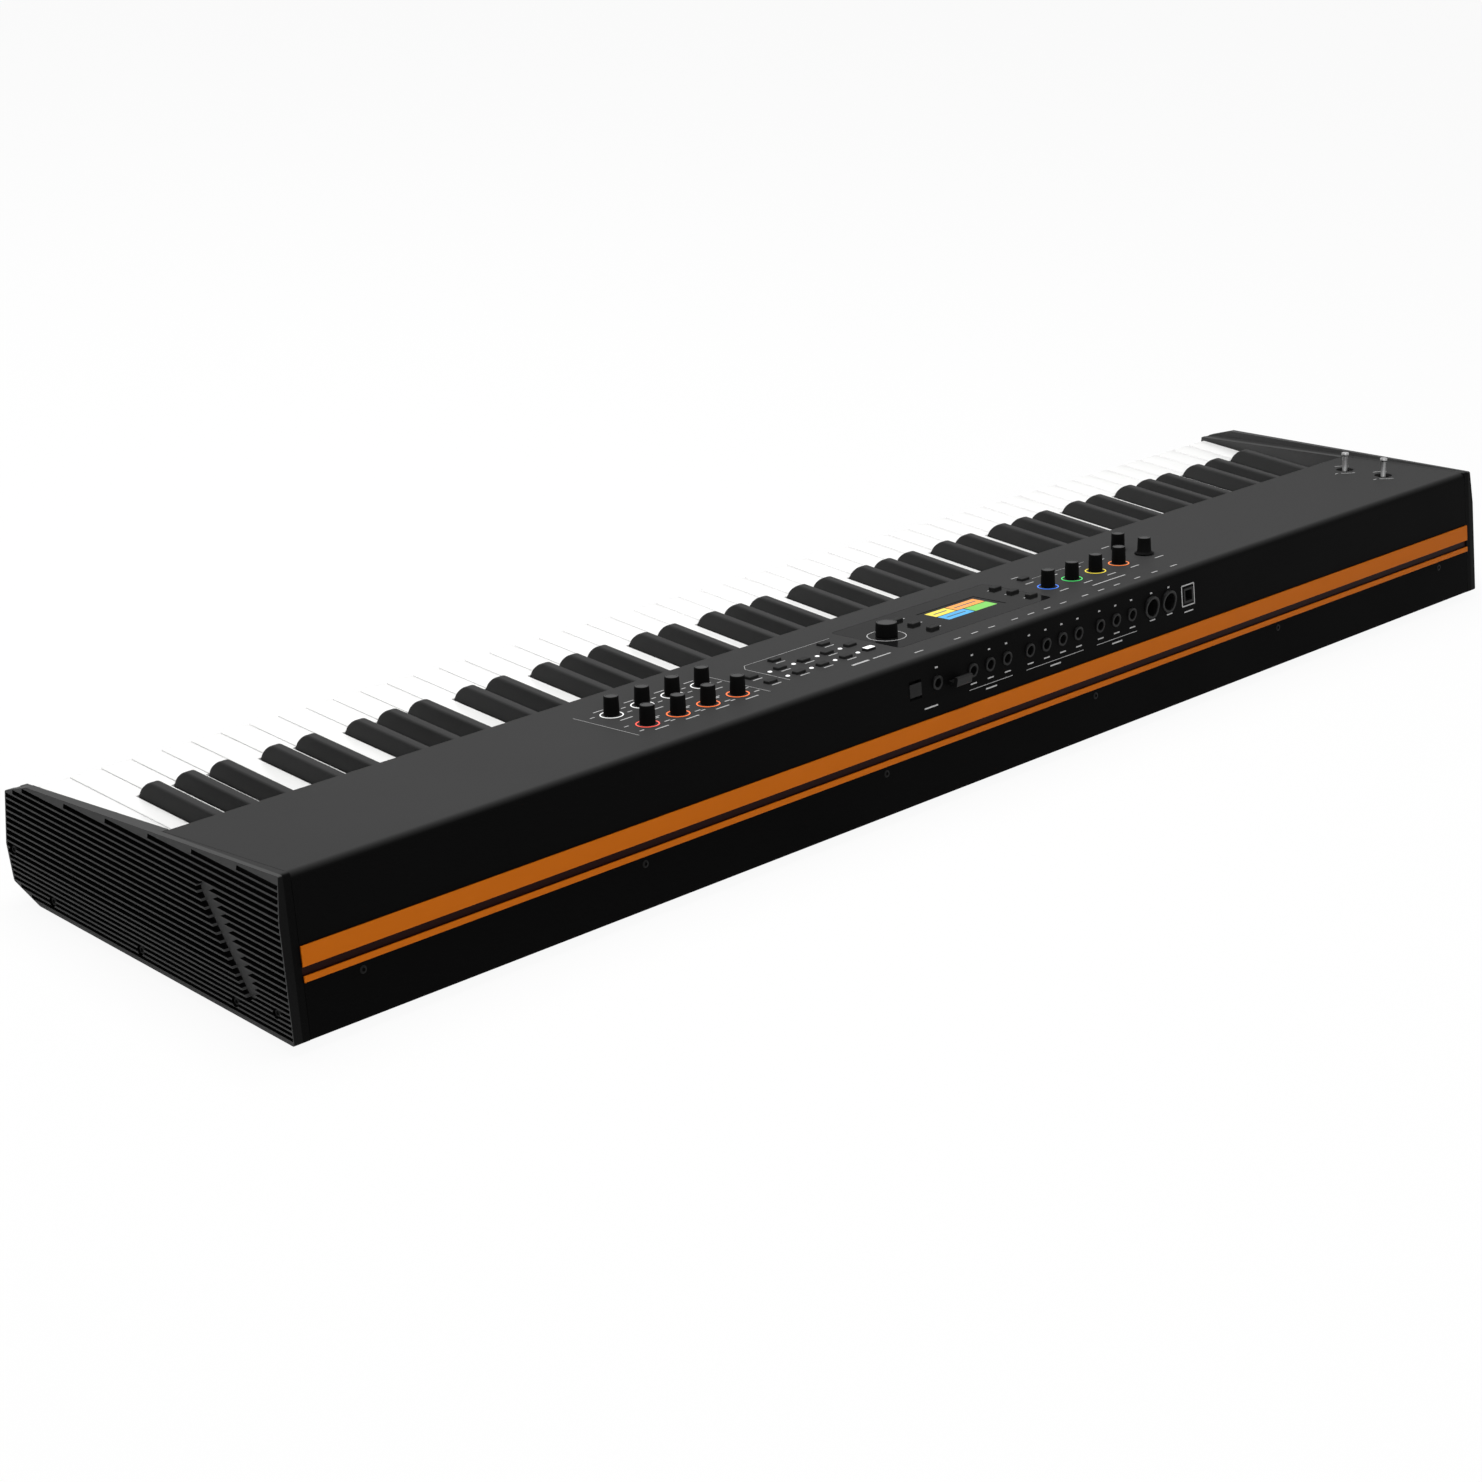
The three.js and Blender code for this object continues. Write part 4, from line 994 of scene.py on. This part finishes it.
# The pockets take the near-black painted shade of the grooves.
pockets = at_places(pocket, groove_painted_shade, screw_places)
hollow = slanted_hollow()
hollow.materials.append(rib_plastic)
plate_split = half_width - rim_width
plate = drawn("cheek_plate", rounded(outer_corners, 5), plate_split, half_width, along_x=True)
lean_place = Vector((half_width, 0, top_z - lean_height))
plate = cut_off(plate, lean_place, Vector((lean_height, 0, lean_inset)).normalized())
plate.materials.append(rib_plastic)
plate = carved(plate, groove_bars(), hollow, pockets)
inner_plate = drawn("inner_plate", rounded(cheek_corners, 5), plate_inner, plate_split, along_x=True)
for face in inner_plate.polygons:
    face.material_index = len(plate.materials)
plate.materials.append(cover_paint)
treble_cheek = joined("treble_cheek", [plate, inner_plate, tongue()])
for finish in plate.materials:
    treble_cheek.materials.append(finish)
bass_cheek = mirrored(treble_cheek)
piece("treble_cheek", treble_cheek, None, "case", "cheek_plastic", "right_cheek")
piece("bass_cheek", bass_cheek, None, "case", "cheek_plastic", "left_cheek")
print("cheek faces", len(treble_cheek.polygons), "finishes", len(treble_cheek.materials))

# %% [markdown]
# Five black screws with a round head and a sunk socket hold each cheek, sunk into their pockets, and six
# more close the tray along the lower rear wall.

# %% Screws
head_radius, head_height, head_foot = 2.8 * mm, 1.4 * mm, -1.5 * mm
socket_radius, socket_depth, sunk = 1.3 * mm, 0.9 * mm, 0.9 * mm
screw_profile = [
    (0, head_foot),
    (head_radius, head_foot),
    (head_radius, 0.3 * mm),
    (head_radius * 0.9, head_height * 0.75),
    (head_radius * 0.6, head_height),
    (socket_radius, head_height),
    (socket_radius, head_height - socket_depth),
    (0, head_height - socket_depth),
]
screw = turned("screw", screw_profile, 24)
end_screw = screw.copy()
end_screw.transform(Matrix.Translation((-head_height - sunk, 0, 0)) @ facing_treble)
treble_screws = at_places(end_screw, screw_metal, screw_places)
both_ends = joined("cheek_screws", [treble_screws, mirrored(treble_screws)])
piece("cheek_screws", both_ends, screw_metal, "case", "cheek_plastic")

wall_lean = Matrix.Rotation(wall_angle, 4, "X") @ facing_rear
rear_screw = screw.copy()
rear_screw.transform(wall_lean)
rear_screw_z = 29.5 * mm + floor_z
rear_screw_y = wall_y(rear_screw_z) - sunk
rear_screw_row = (576, 230.4, 6)
rear_screws = rear_row(rear_screw, screw_metal, *rear_screw_row, rear_screw_y, rear_screw_z)
piece("rear_screws", rear_screws, screw_metal, "case", "body_paint")
print("screws", 2 * len(cheek_screws) + rear_screw_row[2])

# %% [markdown]
# Naturals are hollow mouldings with a flat top and an edge radius of about a millimetre. The model has their
# exact plan, so a welded copy of each gets a rounded edge on every corner. Its flat faces are joined first,
# which keeps the long tops free of stray edges.

# %% White keys
def welded(node):
    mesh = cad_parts[node].data.copy()
    mesh.transform(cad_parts[node].matrix_world)
    work = bmesh.new()
    work.from_mesh(mesh)
    bmesh.ops.remove_doubles(work, verts=work.verts, dist=0.005 * mm)
    bmesh.ops.dissolve_limit(work, angle_limit=math.radians(1), verts=work.verts, edges=work.edges)
    work.to_mesh(mesh)
    work.free()
    return mesh


def softened(node, width, steps):
    thing = temporary(welded(node))
    bevel = thing.modifiers.new("round_edges", "BEVEL")
    bevel.width = width
    bevel.segments = steps
    bevel.limit_method = "ANGLE"
    bevel.angle_limit = math.radians(35)
    return evaluated_mesh(thing)


def is_natural(node):
    return node.startswith("naturals_") or (node.startswith("key_") and "sharp" not in node)


key_edge, edge_steps = 0.8 * mm, 3
natural_nodes = [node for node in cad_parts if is_natural(node)]
for node in natural_nodes:
    piece(node + "_keys", softened(node, key_edge, edge_steps), white_plastic, node, "white_key", node)
print("white key pieces", len(natural_nodes))

# %% [markdown]
# A sharp is a narrow bar with sloping sides and a round nose, standing on a lever that reaches back under
# the panel. Its cap is lofted through cross-sections: each has rounded upper edges, and the height climbs
# over the nose like a quarter of an ellipse. The levers outside the middle octave are joined by a bar behind
# the pivot.

# %% Black keys
sharp_low, sharp_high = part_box("key_Csharp4")
natural_low, natural_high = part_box("key_C4")
cap_base, cap_top, nose_length, edge_radius = 10.6 * mm, 7.9 * mm, 11 * mm, 1.7 * mm
nose_power, least_height, tip_taper, taper_length = 1.6, 0.8 * mm, 0.16, 3 * mm
nose_shares = (0, 0.03, 0.08, 0.15, 0.24, 0.34, 0.46, 0.6, 0.76, 0.9, 1, 1.03)
cap_height = sharp_high.z - natural_high.z
cap_rear = lip_y + 4 * mm
lever_half = 4.8 * mm
pivot_inset, pivot_rise, notch_half, notch_rise = 34 * mm, 7 * mm, 5 * mm, 4 * mm
notch_front = rear_top_y - pivot_inset - notch_half
notch_top = natural_low.z + pivot_rise + notch_rise
bar_front = sharp_high.y - 6 * mm
bar_low, bar_high = natural_high.z + 1.5 * mm, natural_high.z + 6.5 * mm


def cap_section(offset):
    """The outline of a cap, at a distance behind its tip: left foot, rounded upper edges, right foot."""
    share = min(offset / nose_length, 1)
    height = max(cap_height * (1 - (1 - share) ** nose_power) ** (1 / nose_power), least_height)
    narrow = 1 - tip_taper * max(1 - offset / taper_length, 0) ** 2
    half_base = cap_base / 2 * narrow
    half_top = half_base - (cap_base - cap_top) / 2 * height / cap_height
    radius = min(edge_radius, height * 0.8)
    arc_x, arc_z = -half_top + radius, height - radius
    left = [(-half_base, -mm), (-half_base, 0)]
    for step in range(6):
        angle = math.radians(180 - 18 * step)
        left.append((arc_x + radius * math.cos(angle), arc_z + radius * math.sin(angle)))
    return left + [(-x, z) for x, z in reversed(left)]


def sharp_seed(with_riser):
    offsets = [nose_length * share for share in nose_shares] + [cap_rear - sharp_low.y]
    foot = natural_high.z
    sections = [[(x, sharp_low.y + gone, foot + z) for x, z in cap_section(gone)] for gone in offsets]
    cap = lofted("cap", sections)
    tip = sharp_low.y + mm
    side = [(tip, sharp_low.z), (notch_front, sharp_low.z), (notch_front, notch_top)]
    side.append((sharp_high.y, notch_top))
    if with_riser:
        side += [(sharp_high.y, bar_high), (bar_front, bar_high), (bar_front, foot)]
    else:
        side.append((sharp_high.y, foot))
    side.append((tip, foot))
    lever = drawn("lever", side, -lever_half, lever_half, along_x=True)
    return joined("sharp_seed", [cap, lever])


octave_pitch, natural_pitch = 164.5 * mm, 23.5 * mm
first_natural_x = -26 * natural_pitch
naturals_before_first_c = 2
centre_shares = [0.1286, 0.3, 0.551, 0.7143, 0.8776]


def sharp_centres(octave):
    c_x = first_natural_x + (naturals_before_first_c + 7 * (octave - 1)) * natural_pitch
    shares = centre_shares[-1:] if octave == 0 else centre_shares
    return [c_x + share * octave_pitch for share in shares]


comb_octaves = {"sharps_A0_B1": (0, 1), "sharps_C2_B3": (2, 3), "sharps_C5_B6": (5, 6), "sharps_C7_C8": (7,)}
for node, octaves in comb_octaves.items():
    centres = [x for octave in octaves for x in sharp_centres(octave)]
    caps = at_places(sharp_seed(True), black_plastic, [(x, 0, 0) for x in centres])
    bar_from = (centres[0] + lever_half, bar_front, bar_low)
    bar_to = (centres[-1] - lever_half, sharp_high.y, bar_high)
    comb = joined(node, [caps, box_mesh("comb_bar", bar_from, bar_to)])
    piece(node + "_keys", comb, black_plastic, node, "black_key", node)
for name, x in zip(("Csharp4", "Dsharp4", "Fsharp4", "Gsharp4", "Asharp4"), sharp_centres(4)):
    mesh = sharp_seed(False)
    mesh.transform(Matrix.Translation((x, 0, 0)))
    piece("key_" + name + "_cap", mesh, black_plastic, "key_" + name, "black_key", "key_" + name)
print("sharps", [round(x / mm, 1) for x in sharp_centres(4)])

# %% [markdown]
# Knobs are soft rubber caps with straight, slightly tapered sides, a rounded rim and a flat grey face. The
# volume knob flares at its foot, and the menu knob is wider and lower. Each is turned from a profile as high
# as the model's own piece, and its top face takes the grey material.

# %% Knobs
def knob_profile(base, top, height, flare=0.0):
    rim_radius, shaft_radius, shaft_foot, skirt_foot = 0.8 * mm, 3 * mm, -8 * mm, 0.6 * mm
    shaft = [(0, shaft_foot), (shaft_radius, shaft_foot), (shaft_radius, skirt_foot)]
    foot = [(base + flare, skirt_foot), (base + flare, 1.2 * mm)]
    if flare:
        foot += [(base + 0.35 * flare, 1.9 * mm), (base, 3 * mm)]
    rim_points = []
    for step in range(5):
        angle = math.radians(90 * step / 4)
        inward, downward = rim_radius * (1 - math.cos(angle)), rim_radius * (1 - math.sin(angle))
        rim_points.append((top - inward, height - downward))
    dish = [(top - 1.1 * mm, height), (top - 1.3 * mm, height - 0.15 * mm), (0, height - 0.15 * mm)]
    return shaft + foot + rim_points + dish


def knob_finish(mesh, from_height):
    for finish in (knob_rubber, knob_face):
        mesh.materials.append(finish)
    for polygon in mesh.polygons:
        if polygon.center.z > from_height and polygon.normal.z > 0.9:
            polygon.material_index = 1


small_knob = (5.3 * mm, 4.95 * mm)
knob_sizes = {"menu_knob": (7.9 * mm, 7.6 * mm), "volume_knob": (5.3 * mm, 4.9 * mm, 2 * mm)}
for node in knob_nodes:
    height = panel_box(node)[1].z
    base, top, *flare = knob_sizes.get(node, small_knob)
    mesh = turned(node, knob_profile(base, top, height, *flare), 48)
    knob_finish(mesh, height - 0.2 * mm)
    mesh.transform(panel_frame @ Matrix.Translation(panel_spot(node)))
    piece(node + "_cap", mesh, None, node, "knob_rubber", node)
print("small knob height", round(panel_box("effect_knob_1")[1].z / mm, 1), "mm")

# %% [markdown]
# A light ring glows around most knobs: white ones in the far row of effects, warm ones in the near row, and
# a colour for each zone. A ring is a clear plastic band, nearly flush with the panel, with lamps under it.

# %% Light rings
def lamp_material(name, colour, strength=1.0):
    unlit = [channel * 0.5 for channel in colour]
    return material(name, unlit, None, 0.4, 0.1, 900, 90, 0.02, glow=colour, strength=strength)


ring_inner, ring_outer, ring_low, ring_high = 7.1 * mm, 7.9 * mm, -0.4 * mm, 0.2 * mm
ring_lights = {
    "white_rings": ((0.75, 0.75, 0.75), ["effect_knob_1", "effect_knob_2", "effect_knob_3", "effect_knob_4"]),
    "red_ring": ((0.9, 0.09, 0.06), ["effect_knob_5"]),
    "warm_rings": ((0.95, 0.17, 0.03), ["effect_knob_6", "effect_knob_7", "effect_knob_8"]),
    "blue_ring": ((0.02, 0.16, 0.75), ["zone_knob_1"]),
    "green_ring": ((0.04, 0.6, 0.12), ["zone_knob_2"]),
    "yellow_ring": ((0.75, 0.6, 0.03), ["zone_knob_3"]),
    "orange_ring": ((0.9, 0.2, 0.03), ["zone_knob_4"]),
}
for name, (colour, nodes) in ring_lights.items():
    light = lamp_material(name, colour)
    ring = flat_ring("ring", ring_inner, ring_outer, ring_low, ring_high, 48)
    rings = at_places(ring, light, [panel_spot(node) for node in nodes])
    piece(name, rings, light, "case", "display", placed=panel_frame)
print("rings", sum(len(nodes) for _, nodes in ring_lights.values()))

# %% [markdown]
# Buttons are small rubber caps with round corners, on a carrier under the panel that the whole group shares.
# One of the sound buttons is lit. Small round lights sit between the sound buttons.

# %% Buttons and small lights
carrier_drop, carrier_thickness, carrier_inset = 5.4 * mm, 1.2 * mm, 0.1 * mm
sound_spots = [(x, button_rows[0]) for x in bracket_columns]
sound_spots += [(x, line) for x in button_columns for line in button_rows[1:]]
button_groups = {
    "sound_buttons": sound_spots,
    "effect_buttons": [(effect_button_x, line) for line in button_rows[1:]],
    "display_left_buttons": [(display_left_x, line) for line in button_rows],
    "display_right_buttons": [(display_right_x, line) for line in button_rows],
    "zone_button": [(zone_button_x, button_rows[0])],
}
button_rise = 1.8 * mm
cap_outline = rounded_rectangle(0, 0, button_width, button_length, 0.8 * mm, 4)
cap_inner = rounded_rectangle(0, 0, button_width - 0.7 * mm, button_length - 0.7 * mm, 0.6 * mm, 4)


def button_cap():
    levels = [(cap_outline, -carrier_drop), (cap_outline, button_rise - 0.35 * mm), (cap_inner, button_rise)]
    return lofted("button_cap", [[(a, b, z) for a, b in shape] for shape, z in levels])


for node, spots in button_groups.items():
    caps = at_places(button_cap(), button_rubber, [on_panel(*spot) for spot in spots])
    low, high = panel_box(node)
    carrier_low = (low.x + carrier_inset, low.y + carrier_inset, low.z)
    carrier_high = (high.x - carrier_inset, high.y - carrier_inset, low.z + carrier_thickness)
    group = joined(node, [box_mesh("carrier", carrier_low, carrier_high), caps])
    piece(node + "_caps", group, button_rubber, node, "button_rubber", node, placed=panel_frame)

lit_white = lamp_material("lit_white", (0.85, 0.85, 0.85))
lit_outline = rounded_rectangle(0, 0, button_width - 0.6 * mm, button_length - 0.6 * mm, 0.6 * mm, 4)
lit_cap = drawn("lit_cap", lit_outline, button_rise - 0.2 * mm, button_rise + 0.08 * mm)
lit_cap.transform(Matrix.Translation(on_panel(button_columns[3], button_rows[2])))
piece("lit_cap", lit_cap, lit_white, "sound_buttons", "display", placed=panel_frame)

dot_radius, dot_foot = 1.6 * mm, -0.4 * mm
dot_profile = [(0, dot_foot), (dot_radius, dot_foot), (dot_radius, 0.15 * mm)]
dot_profile += [(1.2 * mm, 0.4 * mm), (0, 0.5 * mm)]
dot_columns, dot_rows = (158, 134.4, 110.5, 87.2), (59.8, 43.5)
dot_spots = [(x, line) for x in dot_columns for line in dot_rows]
dots = at_places(turned("dot", dot_profile, 24), lit_white, [on_panel(*spot) for spot in dot_spots])
piece("small_lights", dots, lit_white, "case", "display", placed=panel_frame)
print("button groups", len(button_groups))

# %% [markdown]
# The middle of the panel is a polished black plate let into the sheet, with a colour screen behind its
# window. The screen shows plain blocks of colour and a few bars, as a screen of four zones would, and no
# words.

# %% Glossy overlay and screen
overlay_shape = rounded_rectangle(*overlay_middle[:2], *overlay_size[:2], 3.7 * mm)
overlay_back, overlay_face = -1 * mm, -0.02 * mm
overlay_mesh = drawn("overlay", overlay_shape, overlay_back, overlay_face)
menu_hole = cylinder("menu_hole", shaft_opening, -through, through, 24)
menu_hole.transform(Matrix.Translation(panel_spot("menu_knob")))
overlay_buttons = [on_panel(*spot) for spot in button_spots if spot[0] in (display_left_x, display_right_x)]
overlay_button_holes = at_places(button_hole, gloss_black, overlay_buttons)
overlay_window = box_mesh("overlay_window", window_low, window_high)
overlay_mesh = carved(overlay_mesh, menu_hole, overlay_button_holes, overlay_window)
overlay_slot, overlay_node = "gloss_overlay", "control_overlay"
piece("overlay_plate", overlay_mesh, gloss_black, "case", overlay_slot, overlay_node, placed=panel_frame)

screen_colours = {
    "screen_dark": ((0.01, 0.03, 0.05), -0.3, [(0.01, 0.99, 0.01, 0.99)]),
    "screen_blue": ((0.03, 0.28, 0.55), -0.24, [(0.08, 0.52, 0.51, 0.86)]),
    "screen_green": ((0.12, 0.42, 0.05), -0.24, [(0.54, 0.92, 0.51, 0.86)]),
    "screen_yellow": ((0.65, 0.52, 0.04), -0.24, [(0.08, 0.42, 0.12, 0.48)]),
    "screen_orange": ((0.7, 0.25, 0.03), -0.24, [(0.44, 0.92, 0.12, 0.48)]),
    "screen_bars": (
        (0.02, 0.05, 0.07),
        -0.2,
        [(0.14, 0.46, 0.66, 0.71), (0.14, 0.36, 0.27, 0.32), (0.5, 0.86, 0.27, 0.32)],
    ),
}


def screen_block(left, right, low, high, depth):
    """A block on the screen, by shares of its width from the treble side and of its length from the front."""
    width, length = screen_right - screen_left, screen_front - screen_rear
    near = on_panel(screen_right - right * width, screen_front - low * length, -0.8)
    far = on_panel(screen_right - left * width, screen_front - high * length, depth)
    return box_mesh("block", near, far)


for name, (colour, depth, blocks) in screen_colours.items():
    mesh = joined(name, [screen_block(*block, depth) for block in blocks])
    piece(name, mesh, lamp_material(name, colour), "case", "display", placed=panel_frame)
print("screen pieces", len(screen_colours))

# %% [markdown]
# The panel is screen printed in pale ink. Only plain bars and lines are printed here, where a panel has its
# captions: short bars beside buttons and knobs, thin brackets around the groups, and arcs around the sticks.

# %% Printed bars and lines
ink_low, ink_high = -0.05 * mm, 0.07 * mm
hairline = 0.35
effect_marks = [
    (0, 28.5, 12, 1.2),
    (-12.5, 36, 5, 1.1),
    (-12.5, 46, 5, 1.1),
    (12.5, 48, 4, 1.0),
    (12.5, 34, 4, 1.0),
    (0, 60.5, 11, 1.1),
    (-12.5, 70, 4, 1.0),
    (12.5, 79, 4, 1.0),
    (0, 86.5, 9, 1.0),
]
zone_marks = [(0, 34, 10, 1.1), (0, 66, 9, 1.1)]
bracket_lines = [(158, 83.5, 72, 83.5), (158, 83.5, 164, 77), (164, 77, 164, 36)]
rear_caption_line, button_mark_drop = 12, 5.6
arc_radius, arc_width, arc_spans = 14 * mm, 0.9 * mm, ((20, 70), (200, 250))
divider_asides, divider_front, divider_rear = (21, -17), 88, 28


def ink_line(x0, line0, x1, line1, thickness):
    start, end = Vector((x0, -line0)) * mm, Vector((x1, -line1)) * mm
    side = (end - start).normalized().orthogonal() * thickness * mm / 2
    return drawn("ink", [start - side, end - side, end + side, start + side], ink_low, ink_high)


def ink_bar(x, line, length, thickness):
    return ink_line(x - length / 2, line, x + length / 2, line, thickness)


def button_mark(x, line):
    return ink_bar(x, line - button_mark_drop, 9, 1.0)


def marks_beside(x, marks):
    """Bars by their distance along the panel from x, their line, length and thickness, in millimetres."""
    return [ink_bar(x + aside, *mark) for aside, *mark in marks]


def ink_arc(centre, radius, from_degrees, to_degrees, thickness, steps=14):
    angles = [math.radians(from_degrees + (to_degrees - from_degrees) * n / steps) for n in range(steps + 1)]
    outer = [(centre.x + radius * math.cos(a), centre.y + radius * math.sin(a)) for a in angles]
    within = radius - thickness
    inner = [(centre.x + within * math.cos(a), centre.y + within * math.sin(a)) for a in reversed(angles)]
    return drawn("ink_arc", outer + inner, ink_low, ink_high)


ink = []
effect_xs = [panel_spot(f"effect_knob_{n}").x / mm for n in (1, 2, 3, 4)]
for x in effect_xs:
    ink += marks_beside(x, effect_marks)
for knob_x, aside in zip((effect_xs[0], effect_xs[-1]), divider_asides):
    x = knob_x + aside
    ink.append(ink_line(x, divider_rear, x, divider_front, hairline))
for x in button_columns[:3] + [effect_button_x]:
    ink += [button_mark(x, line) for line in button_rows[1:]]
ink += [button_mark(x, button_rows[0]) for x in bracket_columns]
ink += [ink_bar(105, 25.5, 17, 2.2), ink_bar(83, 25.5, 18, 1.4)]
ink += [ink_line(*ends, hairline) for ends in bracket_lines]
zone_xs = [panel_spot(f"zone_knob_{n}").x / mm for n in (1, 2, 3, 4)]
for x in zone_xs:
    ink += marks_beside(x, zone_marks)
ink += [ink_bar(-171, 72.5, 62, hairline), ink_bar(-170, 24.5, 39, 1.2), ink_bar(zone_button_x, 84, 8, 0.9)]
ink += [ink_bar(-248, 36.5, 10, 1.1), ink_bar(-247.3, 86.5, 9, 1.1)]
for line in button_rows:
    ink += [ink_bar(display_left_x - 8.2, line, 1.6, 1.0), ink_bar(display_right_x + 8.2, line, 1.6, 1.0)]
captioned_xs = [x for line in (*jack_rows, round_row) for x in row_xs(*line)]
ink += [ink_bar(x, rear_caption_line, 7, 1.1) for x in captioned_xs]
ink += [ink_bar(usb_x, rear_caption_line, 8, 1.1), ink_bar(inlet_x + 3, rear_caption_line, 9, 1.1)]
for spot in stick_spots:
    ink += [ink_arc(spot, arc_radius, *span, arc_width) for span in arc_spans]
    ink += [ink_bar(spot.x / mm + 17, -spot.y / mm - 3, 4, 0.8)]
menu_print = flat_ring("menu_print", 13.3 * mm, 14 * mm, ink_low, ink_high, 64)
menu_print.transform(Matrix.Translation(panel_spot("menu_knob")))
panel_print = joined("panel_print", [*ink, menu_print])
piece("panel_print", panel_print, print_ink, "case", "panel_paint", placed=panel_frame)
print("printed marks", len(ink))

# %% [markdown]
# The two sticks at the bass end are turned metal pins with a wider head, and a cross pin through the ring
# that carries them. They stand in round openings of the cover.

# %% Sticks
hub, shaft, head, stick_top = 4.6 * mm, 2.2 * mm, 3 * mm, 14.5 * mm
hub_foot, hub_top, taper_foot, taper_top = -12.2 * mm, -8 * mm, -6 * mm, -4 * mm
stick_profile = [
    (0, hub_foot),
    (hub, hub_foot),
    (hub, hub_top),
    (shaft + 0.8 * mm, taper_foot),
    (shaft, taper_top),
    (shaft, stick_top - 3 * mm),
    (shaft + 0.4 * mm, stick_top - 2.4 * mm),
    (head, stick_top - 2 * mm),
    (head, stick_top - 0.5 * mm),
    (head - 0.15 * mm, stick_top - 0.15 * mm),
    (head - 0.5 * mm, stick_top),
    (0, stick_top),
]
gimbal_drop, pin_radius, pin_half = 10 * mm, 1.5 * mm, 9 * mm
for node in ("stick_front", "stick_rear"):
    pin = cylinder("cross_pin", pin_radius, -pin_half, pin_half, 20)
    pin.transform(Matrix.Translation((0, 0, -gimbal_drop)) @ Matrix.Rotation(math.pi / 2, 4, "X"))
    stick = joined(node, [turned("stick", stick_profile, 32), pin])
    stick.transform(Matrix.Translation(panel_spot(node)))
    piece(node + "_turned", stick, stick_metal, node, "stick_metal", node, placed=panel_frame)
print("sticks at", [round(spot.x / mm, 1) for spot in stick_spots])

# %% [markdown]
# Each round rear socket shows as a black plastic collar around a dark bore, standing a little proud of the
# wall. The collars are rows of turned rings. Pale dashes above and below stand where the real wall has its
# captions.

# %% Rear sockets
def collar(inner, outer):
    front, foot = 1 * mm, -3 * mm
    profile = [
        (inner, foot),
        (outer, foot),
        (outer, front - 0.4 * mm),
        (outer - 0.4 * mm, front),
        (inner + 0.5 * mm, front),
        (inner, front - 0.5 * mm),
    ]
    made = turned("collar", profile, 36)
    made.transform(facing_rear)
    return made


collar_y = hole_y + 0.1 * mm
jack_ring, round_ring, inlet_ring = (3.3, 5), (6.4, 8.5), (3.2, 5.1)
ringed_rows = [(jack_ring, line) for line in jack_rows] + [(round_ring, round_row), (inlet_ring, inlet_row)]
collars = []
for (inner, outer), line in ringed_rows:
    collars.append(rear_row(collar(inner * mm, outer * mm), socket_plastic, *line, collar_y))
piece("socket_collars", joined("socket_collars", collars), socket_plastic, "case", "circuit_board")


def wall_bar(x, height, length, thickness):
    """A printed bar on the leaning rear wall, by its middle, in millimetres."""
    far = Vector((length / 2 * mm, thickness / 2 * mm, ink_high))
    bar = box_mesh("wall_ink", (-far.x, -far.y, ink_low), far)
    z = height * mm + floor_z
    bar.transform(Matrix.Translation((x * mm, wall_y(z), z)) @ wall_lean)
    return bar


above, below = 89, 69.2
wall_ink = []
for x in captioned_xs:
    wall_ink += [wall_bar(x, above, 2.4, 1.2), wall_bar(x, below, 6.5, 0.9)]
for first, pitch, count in jack_rows:
    middle = first - pitch * (count - 1) / 2
    wall_ink.append(wall_bar(middle, 65.4, pitch * (count - 1) + 10, hairline))
    wall_ink.append(wall_bar(middle, 62.4, 12, 1.0))
wall_ink += [wall_bar(usb_x, 66.5, 11, 0.9), wall_bar(inlet_x + 8, 63.5, 14, 1.0)]
wall_ink.append(wall_bar(inlet_x, above, 3, 1.2))
frame_half, frame_line = 7.6, 0.9
for side in (-1, 1):
    wall_ink.append(wall_bar(usb_x + side * frame_half, socket_line, frame_line, 2 * frame_half))
    wall_ink.append(wall_bar(usb_x, socket_line + side * frame_half, 2 * frame_half, frame_line))
piece("wall_print", joined("wall_print", wall_ink), print_ink, "case", "body_paint")
print("marks on the wall", len(wall_ink))

# %% [markdown]
# Pieces that stay inside the case, or that the model already shows well, keep their model shape. They still
# get a material that changes over the surface, like everything else.

# %% Pieces that keep their model shape
kept = {
    "keybed_frame": frame_metal,
    "main_board": board_green,
    "gimbal_ring_front": socket_plastic,
    "gimbal_ring_rear": socket_plastic,
    "foot_front_left": foot_rubber,
    "foot_front_right": foot_rubber,
    "foot_rear_left": foot_rubber,
    "foot_rear_right": foot_rubber,
    "power_switch": button_rubber,
    "display_module": gloss_black,
    "jack_board": socket_plastic,
}
for node, finish in kept.items():
    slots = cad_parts[node].data.materials
    slots.clear()
    slots.append(finish)
print("kept", len(kept))
